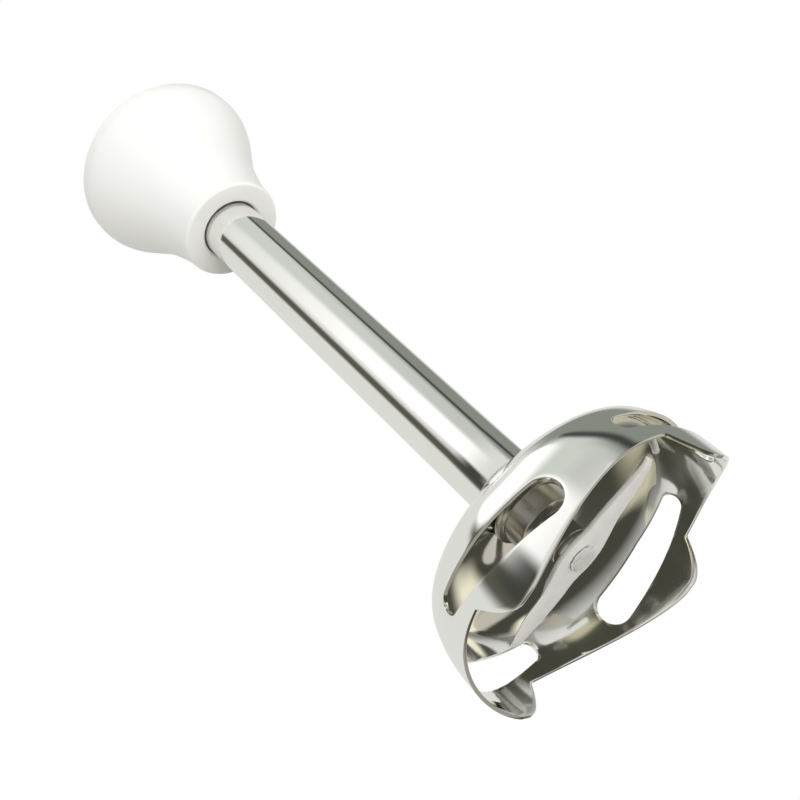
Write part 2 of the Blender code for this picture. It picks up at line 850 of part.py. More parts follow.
def drive_spindle():
    """One rod: riveted tail, journal with two circlip grooves, and a slimmer head in the drive dog."""
    groove = SPINDLE_RADIUS - CIRCLIP_GROOVE_DEPTH
    head_top = dog_base() + DOG_HEIGHT - DOG_TOOTH_HEIGHT
    rivet_top = knife_base() - SEAT_GAP
    grooves = []
    for base in (upper_circlip_base(), lower_circlip_base()):
        low, high = base - SEAT_GAP / 2, base + CIRCLIP_THICKNESS + SEAT_GAP / 2
        grooves += [(SPINDLE_RADIUS, high), (groove, high), (groove, low), (SPINDLE_RADIUS, low)]
    profile = [
        (0.0, head_top),
        (SPINDLE_HEAD_RADIUS, head_top),
        (SPINDLE_HEAD_RADIUS, dog_base() - RUN_GAP / 2),
        (SPINDLE_RADIUS, dog_base() - RUN_GAP / 2),
        *grooves,
        (SPINDLE_RADIUS, spacer_base()),
        (SPINDLE_TAIL_RADIUS, spacer_base()),
        (SPINDLE_TAIL_RADIUS, rivet_top),
        (RIVET_RADIUS, rivet_top),
        (RIVET_RADIUS, rivet_top - RIVET_HEIGHT / 2),
        (0.6 * RIVET_RADIUS, rivet_top - RIVET_HEIGHT),
        (0.0, rivet_top - RIVET_HEIGHT),
    ]
    turned("drive_spindle", profile, "ground_steel", "spindle_axis", closed=False)


def knife_half_width(reach):
    """Half the knife's width at a distance from the axis: a round hub, then two tapering blades."""
    reach = abs(reach)
    share = min(max((reach - KNIFE_HUB_RADIUS) / (KNIFE_REACH - KNIFE_HUB_RADIUS), 0.0), 1.0)
    blade = (KNIFE_ROOT_WIDTH + (KNIFE_TIP_WIDTH - KNIFE_ROOT_WIDTH) * share**KNIFE_TAPER) / 2
    hub = max(KNIFE_HUB_RADIUS**2 - reach**2, 0.0) ** 0.5
    return max(blade, hub)


def knife():
    """Flat bar with a round hub, whose two blades twist the same way towards their tips."""
    shape = bmesh.new()
    bmesh.ops.create_grid(shape, x_segments=28, y_segments=3, size=1.0)
    for vert in shape.verts:
        reach = vert.co.x * KNIFE_REACH
        share = max(abs(reach) - KNIFE_HUB_RADIUS, 0.0) / (KNIFE_REACH - KNIFE_HUB_RADIUS)
        side = vert.co.y * knife_half_width(reach)
        lean = KNIFE_TWIST * share * (1 if reach > 0 else -1)
        vert.co = (reach, side * cos(lean), side * sin(lean))
    mesh = bpy.data.meshes.new("knife")
    shape.to_mesh(mesh)
    shape.free()
    blade = add_piece("knife", mesh, "polished_steel", "spindle_axis", knife_base() + KNIFE_THICKNESS / 2)
    blade.rotation_euler.z = KNIFE_REST_ANGLE
    thickness = blade.modifiers.new("thickness", "SOLIDIFY")
    thickness.thickness = KNIFE_THICKNESS
    thickness.offset = 0.0
    hole = cylinder_mesh(
        "knife_hole", SPINDLE_TAIL_RADIUS + SEAT_GAP, knife_base() - OVERCUT, knife_base() + 2 * OVERCUT
    )
    cut(blade, add_cutter("knife_hole", hole))
    apply_modifiers(blade)


def knife_spacer():
    profile = ring_profile(SPACER_RADIUS, shaft_hole(), SPACER_HEIGHT)
    turned("knife_spacer", profile, "ground_steel", "spindle_axis", spacer_base())


def thrust_washers():
    profile = ring_profile(WASHER_RADIUS, shaft_hole(), WASHER_THICKNESS)
    turned("lower_thrust_washer", profile, "ground_steel", "spindle_axis", washer_base())
    turned("upper_thrust_washer", profile, "ground_steel", "spindle_axis", upper_washer_base())


def circlips():
    """Open spring rings in the spindle's two grooves."""
    inner = SPINDLE_RADIUS - CIRCLIP_GROOVE_DEPTH + SEAT_GAP
    places = (("lower_circlip", lower_circlip_base()), ("upper_circlip", upper_circlip_base()))
    steps = 16
    for name, base in places:
        start, span = CIRCLIP_MOUTH / 2, 2 * pi - CIRCLIP_MOUTH
        angles = [start + span * i / steps for i in range(steps + 1)]
        outline = [(CIRCLIP_RADIUS * cos(a), CIRCLIP_RADIUS * sin(a)) for a in angles]
        outline += [(inner * cos(a), inner * sin(a)) for a in reversed(angles)]
        mesh = outline_mesh(name, outline, CIRCLIP_THICKNESS, Matrix.Identity(4))
        add_piece(name, mesh, "spring_steel", "spindle_axis", base + CIRCLIP_THICKNESS / 2)


def drive_dog():
    """Splined cap on the spindle that the motor's socket drives."""
    bore = SPINDLE_HEAD_RADIUS + SEAT_GAP
    body = DOG_HEIGHT - DOG_TOOTH_HEIGHT
    profile = [(DOG_RADIUS, DOG_HEIGHT), (DOG_RADIUS, 0.0), (bore, 0.0), (bore, DOG_HEIGHT)]
    dog = turned("drive_dog", profile, "grey_plastic", "spindle_axis", dog_base(), MEDIUM)
    low, high = dog_base() + body, dog_base() + DOG_HEIGHT + OVERCUT
    width = pi * (DOG_RADIUS + bore) / 2 / DOG_TEETH
    for i in range(DOG_TEETH):
        inner, outer = (bore / 2, -width / 2, low), (DOG_RADIUS + OVERCUT, width / 2, high)
        gap = block_mesh(f"dog_gap_{i + 1}", inner, outer)
        cut(dog, add_cutter(gap.name, gap, angle=2 * pi * i / DOG_TEETH))
    pin_hole = cylinder_mesh("pin_hole", DOG_PIN_RADIUS + SEAT_GAP, -2 * DOG_RADIUS, 2 * DOG_RADIUS, 12)
    cutter = add_cutter("pin_hole", pin_hole, dog_pin_height())
    cutter.rotation_euler = (0.0, pi / 2, pi / DOG_TEETH)
    cut(dog, cutter)
    cut(bpy.data.objects["drive_spindle"], cutter)
    apply_modifiers(dog)


def dog_pin_height():
    return dog_base() + (DOG_HEIGHT - DOG_TOOTH_HEIGHT) / 2


def dog_pin():
    length = 2 * (DOG_RADIUS - SEAT_GAP)
    mesh = cylinder_mesh("dog_pin", DOG_PIN_RADIUS, -length / 2, length / 2, 12)
    pin = add_piece("dog_pin", mesh, "spring_steel", "spindle_axis", dog_pin_height())
    pin.rotation_euler = (0.0, pi / 2, pi / DOG_TEETH)


def main():
    clear_scene()
    add_collection(FOOT)
    add_collection(CUTTERS)
    add_empty("foot_frame")
    add_empty("spindle_axis")
    bell_guard()
    shaft_tube()
    bearing_housing()
    housing_gasket()
    housing_o_ring()
    lower_bush()
    felt_washer()
    shaft_seal()
    shaft_guide()
    coupler_shell()
    coupler_core()
    coupler_seal_ring()
    tube_stop_ring()
    bearing_carrier()
    upper_bush()
    coupler_screws()
    drive_spindle()
    knife()
    knife_spacer()
    thrust_washers()
    circlips()
    drive_dog()
    dog_pin()


main()
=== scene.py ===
"""Looks of an immersion blender foot: pressed steel bell guard and tube, white coupler, knife and spindle.

Metres, +Z up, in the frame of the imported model. The foot stands on the lobes of its bell at z = 0.
"""

import logging  # noqa: E402
from collections.abc import Callable, Iterable, Sequence  # noqa: E402
from dataclasses import dataclass, field, replace  # noqa: E402
from enum import Enum  # noqa: E402
from math import cos, hypot, pi, radians, sin, tau  # noqa: E402

import bmesh  # noqa: E402
import bpy  # noqa: E402
from mathutils import Matrix, Vector  # noqa: E402


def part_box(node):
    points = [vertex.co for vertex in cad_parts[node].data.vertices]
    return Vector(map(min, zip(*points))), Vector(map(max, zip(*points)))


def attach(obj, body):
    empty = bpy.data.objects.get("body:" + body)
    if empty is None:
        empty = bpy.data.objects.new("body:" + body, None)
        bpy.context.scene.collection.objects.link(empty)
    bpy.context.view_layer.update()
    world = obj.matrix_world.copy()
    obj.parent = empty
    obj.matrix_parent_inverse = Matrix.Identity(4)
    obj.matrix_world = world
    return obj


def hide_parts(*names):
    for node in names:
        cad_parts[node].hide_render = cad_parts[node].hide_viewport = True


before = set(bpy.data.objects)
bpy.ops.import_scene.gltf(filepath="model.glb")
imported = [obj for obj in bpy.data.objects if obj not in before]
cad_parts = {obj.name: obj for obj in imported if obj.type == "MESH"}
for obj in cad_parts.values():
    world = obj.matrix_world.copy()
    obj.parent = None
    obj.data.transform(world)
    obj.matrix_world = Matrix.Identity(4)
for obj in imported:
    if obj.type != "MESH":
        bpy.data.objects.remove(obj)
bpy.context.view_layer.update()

log = logging.getLogger("foot")

Point = tuple[float, float]
Triple = tuple[float, float, float]
Colour = Triple

MM = 0.001
WELD = 1e-6  # points closer than this are one


class Body(Enum):
    """The rigid bodies of the frame."""

    FOOT = "foot"
    SPINDLE = "spindle"


class Slot(Enum):
    """The record's material slots."""

    POLISHED_STEEL = "polished_steel"
    KNIFE_STEEL = "knife_steel"
    GROUND_STEEL = "ground_steel"
    SPRING_STEEL = "spring_steel"
    BRONZE = "bronze"
    WHITE_PLASTIC = "white_plastic"
    GREY_PLASTIC = "grey_plastic"
    BLACK_RUBBER = "black_rubber"
    FELT = "felt"


class Grain(Enum):
    """How the fine texture of a surface runs."""

    EVEN = "even"  # the same all ways
    DRAWN = "drawn"  # long lines one way
    TURNED = "turned"  # rings round the upright axis


# ---------------------------------------------------------------- node graphs


SMUDGE_SHARE = 0.6  # of the roughness pattern; the grain has the rest


class Graph:
    """A thin hand on a node tree: adds nodes with their settings and links them by socket name."""

    def __init__(self, tree: bpy.types.NodeTree) -> None:
        """Takes the tree to work on.

        Args:
            tree: the node tree, emptied first.
        """
        self.tree = tree
        tree.nodes.clear()

    def add(self, kind: str, values: dict | None = None, **settings: object) -> bpy.types.Node:
        """Adds a node.

        Args:
            kind: its type, as Blender names it.
            values: default values by input name or number.
            settings: its own properties.

        Returns:
            The node.
        """
        node = self.tree.nodes.new(kind)
        for key, value in settings.items():
            setattr(node, key, value)
        for key, value in (values or {}).items():
            node.inputs[key].default_value = value
        return node

    def link(self, source: bpy.types.NodeSocket, target: bpy.types.NodeSocket) -> None:
        """Joins an output to an input."""
        self.tree.links.new(source, target)

    def calc(self, operation: str, *terms: bpy.types.NodeSocket | float) -> bpy.types.NodeSocket:
        """Adds a Math node.

        Args:
            operation: as the node names it.
            terms: sockets or plain numbers, in order.

        Returns:
            Its output.
        """
        node = self.add("ShaderNodeMath", operation=operation)
        for i, term in enumerate(terms):
            if isinstance(term, (int, float)):
                node.inputs[i].default_value = term
            else:
                self.link(term, node.inputs[i])
        return node.outputs[0]


def new_group(
    name: str, inputs: Sequence[tuple[str, str, object]], outputs: Sequence[tuple[str, str]]
) -> tuple[Graph, bpy.types.Node, bpy.types.Node]:
    """Makes an empty shader node group.

    Args:
        name: of the group.
        inputs: name, socket type and default of each.
        outputs: name and socket type of each.

    Returns:
        Its graph, and its input and output nodes.
    """
    tree = bpy.data.node_groups.new(name, "ShaderNodeTree")
    for title, kind, value in inputs:
        socket = tree.interface.new_socket(title, in_out="INPUT", socket_type=kind)
        if value is not None:
            socket.default_value = value
    for title, kind in outputs:
        tree.interface.new_socket(title, in_out="OUTPUT", socket_type=kind)
    graph = Graph(tree)
    return graph, graph.add("NodeGroupInput"), graph.add("NodeGroupOutput")


def build_surface_group() -> bpy.types.NodeTree:
    """Builds the group that gives a finish its smudges, mottle and fine grain.

    Returns:
        The group, with outputs Colour, Roughness and Height.
    """
    graph, given, made = new_group(
        "surface_detail",
        (
            ("Vector", "NodeSocketVector", None),
            ("Grain Vector", "NodeSocketVector", None),
            ("Colour", "NodeSocketColor", (0.8, 0.8, 0.8, 1.0)),
            ("Worn Colour", "NodeSocketColor", (0.7, 0.7, 0.7, 1.0)),
            ("Mottle Scale", "NodeSocketFloat", 60.0),
            ("Mottle", "NodeSocketFloat", 0.2),
            ("Roughness", "NodeSocketFloat", 0.3),
            ("Roughness Spread", "NodeSocketFloat", 0.1),
        ),
        (("Colour", "NodeSocketColor"), ("Roughness", "NodeSocketFloat"), ("Height", "NodeSocketFloat")),
    )
    smudge = graph.add("ShaderNodeTexNoise", {"Detail": 4.0, "Roughness": 0.55})
    graph.link(given.outputs["Vector"], smudge.inputs["Vector"])
    graph.link(given.outputs["Mottle Scale"], smudge.inputs["Scale"])
    grain = graph.add("ShaderNodeTexNoise", {"Scale": 1.0, "Detail": 3.0, "Roughness": 0.6})
    graph.link(given.outputs["Grain Vector"], grain.inputs["Vector"])
    spots = graph.add(
        "ShaderNodeMapRange", {"From Min": 0.35, "From Max": 0.7}, interpolation_type="SMOOTHSTEP"
    )
    graph.link(smudge.outputs["Fac"], spots.inputs["Value"])
    amount = graph.calc("MULTIPLY", spots.outputs[0], given.outputs["Mottle"])
    tint = graph.add("ShaderNodeMix", data_type="RGBA")
    graph.link(amount, tint.inputs["Factor"])
    graph.link(given.outputs["Colour"], tint.inputs["A"])
    graph.link(given.outputs["Worn Colour"], tint.inputs["B"])
    graph.link(tint.outputs["Result"], made.inputs["Colour"])
    broad = graph.calc("MULTIPLY", smudge.outputs["Fac"], SMUDGE_SHARE)
    fine = graph.calc("MULTIPLY", grain.outputs["Fac"], 1 - SMUDGE_SHARE)
    mixed = graph.calc("ADD", broad, fine)
    offset = graph.calc("MULTIPLY", graph.calc("SUBTRACT", mixed, 0.5), given.outputs["Roughness Spread"])
    graph.link(graph.calc("ADD", given.outputs["Roughness"], offset), made.inputs["Roughness"])
    graph.link(grain.outputs["Fac"], made.inputs["Height"])
    return graph.tree


def build_rings_group() -> bpy.types.NodeTree:
    """Builds the group that turns a place into ring coordinates round the upright axis.

    Returns:
        The group, with output Vector: distance from the axis and height, scaled.
    """
    graph, given, made = new_group(
        "turning_lines",
        (("Vector", "NodeSocketVector", None), ("Lines", "NodeSocketFloat", 3000.0)),
        (("Vector", "NodeSocketVector"),),
    )
    parts = graph.add("ShaderNodeSeparateXYZ")
    graph.link(given.outputs["Vector"], parts.inputs[0])
    squares = [graph.calc("POWER", parts.outputs[i], 2.0) for i in (0, 1)]
    square = graph.calc("ADD", *squares)
    reach = graph.calc("MULTIPLY", graph.calc("SQRT", square), given.outputs["Lines"])
    height = graph.calc("MULTIPLY", parts.outputs[2], given.outputs["Lines"])
    joined = graph.add("ShaderNodeCombineXYZ")
    graph.link(reach, joined.inputs[0])
    graph.link(height, joined.inputs[1])
    graph.link(joined.outputs[0], made.inputs["Vector"])
    return graph.tree


# ---------------------------------------------------------------- finishes


@dataclass(frozen=True)
class Finish:
    """One surface finish.

    Sizes of texture are in features for each metre.
    """

    slot: Slot
    colour: Colour
    worn: Colour
    roughness: float
    spread: float
    metallic: float = 0.0
    grain: Grain = Grain.EVEN
    grain_scale: tuple[float, float, float] = (1500.0, 1500.0, 1500.0)
    grain_turn: float = 0.0
    grain_height: float = 0.00001
    grain_strength: float = 0.2
    mottle: float = 0.25
    mottle_scale: float = 70.0
    label: str = ""  # tells two finishes of one slot apart

    def material(self) -> bpy.types.Material:
        """Makes this finish's material, or returns it if it is there already.

        Returns:
            The material.
        """
        name = f"finish_{self.slot.value}{self.label}"
        if name in bpy.data.materials:
            return bpy.data.materials[name]
        made = bpy.data.materials.new(name)
        made.use_nodes = True
        graph = Graph(made.node_tree)
        place = graph.add("ShaderNodeTexCoord").outputs["Object"]
        shader = graph.add("ShaderNodeBsdfPrincipled", {"Metallic": self.metallic})
        detail = graph.add("ShaderNodeGroup", node_tree=bpy.data.node_groups["surface_detail"])
        values = {
            "Colour": (*self.colour, 1.0),
            "Worn Colour": (*self.worn, 1.0),
            "Mottle Scale": self.mottle_scale,
            "Mottle": self.mottle,
            "Roughness": self.roughness,
            "Roughness Spread": self.spread,
        }
        for key, value in values.items():
            detail.inputs[key].default_value = value
        graph.link(place, detail.inputs["Vector"])
        graph.link(self.grain_place(graph, place), detail.inputs["Grain Vector"])
        bump = graph.add("ShaderNodeBump", {"Strength": self.grain_strength, "Distance": self.grain_height})
        graph.link(detail.outputs["Height"], bump.inputs["Height"])
        graph.link(detail.outputs["Colour"], shader.inputs["Base Color"])
        graph.link(detail.outputs["Roughness"], shader.inputs["Roughness"])
        graph.link(bump.outputs["Normal"], shader.inputs["Normal"])
        out = graph.add("ShaderNodeOutputMaterial")
        graph.link(shader.outputs["BSDF"], out.inputs["Surface"])
        return made

    def grain_place(self, graph: Graph, place: bpy.types.NodeSocket) -> bpy.types.NodeSocket:
        """Adds the nodes that lay the grain out.

        Args:
            graph: of the material.
            place: the object coordinates.

        Returns:
            The coordinates of the grain.
        """
        if self.grain is Grain.TURNED:
            rings = graph.add("ShaderNodeGroup", node_tree=bpy.data.node_groups["turning_lines"])
            rings.inputs["Lines"].default_value = self.grain_scale[0]
            graph.link(place, rings.inputs["Vector"])
            return rings.outputs["Vector"]
        sizes = tuple(1 / scale for scale in self.grain_scale)
        values = {"Rotation": (0.0, 0.0, self.grain_turn), "Scale": sizes}
        turned = graph.add("ShaderNodeMapping", values, vector_type="TEXTURE")
        graph.link(place, turned.inputs["Vector"])
        return turned.outputs["Vector"]


KNIFE_TURN = radians(-17)  # how the knife stands at rest

POLISHED = Finish(
    Slot.POLISHED_STEEL,
    colour=(0.95, 0.945, 0.92),
    worn=(0.90, 0.89, 0.86),
    roughness=0.075,
    spread=0.05,
    metallic=1.0,
    grain=Grain.DRAWN,
    grain_scale=(2600.0, 2600.0, 90.0),
    grain_height=0.000001,
    grain_strength=0.04,
    mottle=0.30,
    mottle_scale=45.0,
)
KNIFE = Finish(
    Slot.KNIFE_STEEL,
    colour=(0.88, 0.87, 0.85),
    worn=(0.76, 0.75, 0.73),
    roughness=0.36,
    spread=0.14,
    metallic=0.35,
    grain=Grain.DRAWN,
    grain_scale=(4200.0, 160.0, 160.0),
    grain_turn=KNIFE_TURN,
    grain_height=0.00001,
    grain_strength=0.25,
    mottle=0.5,
    mottle_scale=180.0,
)
GROUND = Finish(
    Slot.GROUND_STEEL,
    colour=(0.80, 0.79, 0.76),
    worn=(0.68, 0.67, 0.64),
    roughness=0.20,
    spread=0.12,
    metallic=1.0,
    grain=Grain.TURNED,
    grain_scale=(2600.0, 0.0, 0.0),
    grain_height=0.00001,
    grain_strength=0.25,
    mottle=0.35,
    mottle_scale=160.0,
)
RIVETED = replace(
    GROUND,
    label="_riveted",
    colour=(0.86, 0.85, 0.83),
    worn=(0.74, 0.73, 0.71),
    roughness=0.28,
    metallic=0.55,
)
SPRING = Finish(
    Slot.SPRING_STEEL,
    colour=(0.20, 0.20, 0.22),
    worn=(0.34, 0.33, 0.32),
    roughness=0.34,
    spread=0.15,
    metallic=1.0,
    grain_scale=(2200.0, 2200.0, 2200.0),
    mottle=0.6,
    mottle_scale=420.0,
)
BRONZE = Finish(
    Slot.BRONZE,
    colour=(0.62, 0.40, 0.19),
    worn=(0.42, 0.27, 0.13),
    roughness=0.42,
    spread=0.2,
    metallic=1.0,
    grain_scale=(3000.0, 3000.0, 3000.0),
    grain_height=0.00002,
    grain_strength=0.5,
    mottle=0.7,
    mottle_scale=600.0,
)
WHITE = Finish(
    Slot.WHITE_PLASTIC,
    colour=(0.93, 0.93, 0.925),
    worn=(0.90, 0.90, 0.89),
    roughness=0.38,
    spread=0.10,
    grain_scale=(2400.0, 2400.0, 2400.0),
    grain_height=0.00001,
    grain_strength=0.10,
    mottle=0.30,
    mottle_scale=55.0,
)
GREY = Finish(
    Slot.GREY_PLASTIC,
    colour=(0.34, 0.35, 0.36),
    worn=(0.28, 0.29, 0.30),
    roughness=0.46,
    spread=0.12,
    grain_scale=(2400.0, 2400.0, 2400.0),
    grain_height=0.00002,
    grain_strength=0.25,
    mottle=0.4,
    mottle_scale=260.0,
)
RUBBER = Finish(
    Slot.BLACK_RUBBER,
    colour=(0.022, 0.022, 0.023),
    worn=(0.05, 0.05, 0.05),
    roughness=0.62,
    spread=0.2,
    grain_scale=(3600.0, 3600.0, 3600.0),
    grain_height=0.00003,
    grain_strength=0.4,
    mottle=0.5,
    mottle_scale=400.0,
)
FELT = Finish(
    Slot.FELT,
    colour=(0.56, 0.52, 0.44),
    worn=(0.36, 0.32, 0.25),
    roughness=0.94,
    spread=0.08,
    grain_scale=(5200.0, 5200.0, 2600.0),
    grain_height=0.00012,
    grain_strength=0.9,
    mottle=0.7,
    mottle_scale=700.0,
)


# ---------------------------------------------------------------- shapes


class Outline:
    """A smooth line in the plane of radius and height, read by its length or by its height."""

    def __init__(self, knots: Sequence[Point], steps: int = 16, relax: int = 0) -> None:
        """Draws the line.

        Args:
            knots: points it goes through, in order.
            steps: short runs between two knots.
            relax: passes that even out its bends.
        """
        self.points = [Vector(p) for p in self.through(knots, steps)]
        for _ in range(relax):
            neighbours = zip(self.points, self.points[1:], self.points[2:], strict=False)
            inner = [(a + 2 * b + c) / 4 for a, b, c in neighbours]
            self.points = [self.points[0], *inner, self.points[-1]]
        self.lengths = [0.0]
        for a, b in zip(self.points, self.points[1:], strict=False):
            self.lengths.append(self.lengths[-1] + (b - a).length)
        self.length = self.lengths[-1]

    @staticmethod
    def through(knots: Sequence[Point], steps: int) -> list[Point]:
        """Runs a smooth curve through points.

        Args:
            knots: the points.
            steps: short runs between two of them.

        Returns:
            Points along the curve.
        """
        ends = [knots[0], *knots, knots[-1]]
        made = []
        for a, b, c, d in zip(ends, ends[1:], ends[2:], ends[3:], strict=False):
            for i in range(steps):
                t = i / steps
                weights = (
                    (-t + 2 * t * t - t**3) / 2,
                    (2 - 5 * t * t + 3 * t**3) / 2,
                    (t + 4 * t * t - 3 * t**3) / 2,
                    (-t * t + t**3) / 2,
                )
                pairs = list(zip(weights, (a, b, c, d), strict=True))
                made.append(tuple(sum(w * p[k] for w, p in pairs) for k in (0, 1)))
        return [*made, tuple(knots[-1])]

    def at(self, length: float) -> Vector:
        """The point this far along the line."""
        for i, reached in enumerate(self.lengths[1:]):
            if length <= reached:
                share = (length - self.lengths[i]) / max(reached - self.lengths[i], 1e-12)
                return self.points[i].lerp(self.points[i + 1], share)
        return self.points[-1]

    def length_to(self, height: float) -> float:
        """How far along the line it first reaches this height."""
        for i, (a, b) in enumerate(zip(self.points, self.points[1:], strict=False)):
            if a.y <= height <= b.y and b.y > a.y:
                share = (height - a.y) / (b.y - a.y)
                return self.lengths[i] + share * (self.lengths[i + 1] - self.lengths[i])
        return 0.0


def resample(points: Sequence[Vector], count: int) -> list[Vector]:
    """Spaces points evenly along an open line.

    Args:
        points: the line.
        count: how many runs to make.

    Returns:
        count + 1 points, its ends among them.
    """
    lengths = [0.0]
    for a, b in zip(points, points[1:], strict=False):
        lengths.append(lengths[-1] + (b - a).length)
    made, i = [], 0
    for k in range(count + 1):
        goal = lengths[-1] * k / count
        while i < len(points) - 2 and lengths[i + 1] < goal:
            i += 1
        share = (goal - lengths[i]) / max(lengths[i + 1] - lengths[i], 1e-12)
        made.append(points[i].lerp(points[i + 1], min(max(share, 0.0), 1.0)))
    return made


def lathe(profile: Sequence[Point], steps: int, closed: bool = True) -> bmesh.types.BMesh:
    """Turns a profile round the upright axis.

    Args:
        profile: radius and height of each point, on a closed ring or from axis to axis.
        steps: round the turn.
        closed: joins the last point to the first.

    Returns:
        The turned shape, its faces outwards.
    """
    shape = bmesh.new()
    verts = [shape.verts.new((r, 0.0, z)) for r, z in profile]
    pairs = list(zip(verts, verts[1:], strict=False))
    if closed:
        pairs.append((verts[-1], verts[0]))
    edges = [shape.edges.new(pair) for pair in pairs]
    bmesh.ops.spin(
        shape, geom=verts + edges, cent=(0, 0, 0), axis=(0, 0, 1), angle=tau, steps=steps, use_merge=True
    )
    bmesh.ops.remove_doubles(shape, verts=shape.verts, dist=WELD)
    bmesh.ops.recalc_face_normals(shape, faces=shape.faces)
    return shape


def soften(
    shape: bmesh.types.BMesh, width: float, segments: int = 2, angle: float = radians(32)
) -> None:
    """Rounds the sharp edges of a shape.

    Args:
        shape: the shape.
        width: of the rounding.
        segments: across it.
        angle: an edge this sharp or sharper is rounded.
    """
    shape.edges.ensure_lookup_table()
    sharp = [e for e in shape.edges if len(e.link_faces) == 2 and e.calc_face_angle(0.0) > angle]
    bmesh.ops.bevel(
        shape,
        geom=sharp,
        offset=width,
        offset_type="OFFSET",
        segments=segments,
        profile=0.5,
        affect="EDGES",
        clamp_overlap=True,
        material=-1,
    )


def add_piece(
    name: str,
    shape: bmesh.types.BMesh,
    finish: Finish,
    body: Body,
    stands_for: Iterable[str],
    sharp: float = radians(38),
) -> bpy.types.Object:
    """Makes a shape a finished piece of the foot.

    Args:
        name: of the piece.
        shape: its mesh, which is freed.
        finish: its finish.
        body: what it moves with.
        stands_for: the frame's nodes that it replaces.
        sharp: edges over this angle stay crisp.

    Returns:
        The piece.
    """
    mesh = bpy.data.meshes.new(name)
    shape.to_mesh(mesh)
    shape.free()
    mesh.polygons.foreach_set("use_smooth", [True] * len(mesh.polygons))
    mesh.set_sharp_from_angle(angle=sharp)
    mesh.materials.append(finish.material())
    piece = bpy.data.objects.new(name, mesh)
    bpy.context.scene.collection.objects.link(piece)
    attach(piece, body.value)
    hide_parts(*stands_for)
    log.info("%s: %d faces, rides on %s", name, len(mesh.polygons), body.value)
    return piece


# ---------------------------------------------------------------- bell guard


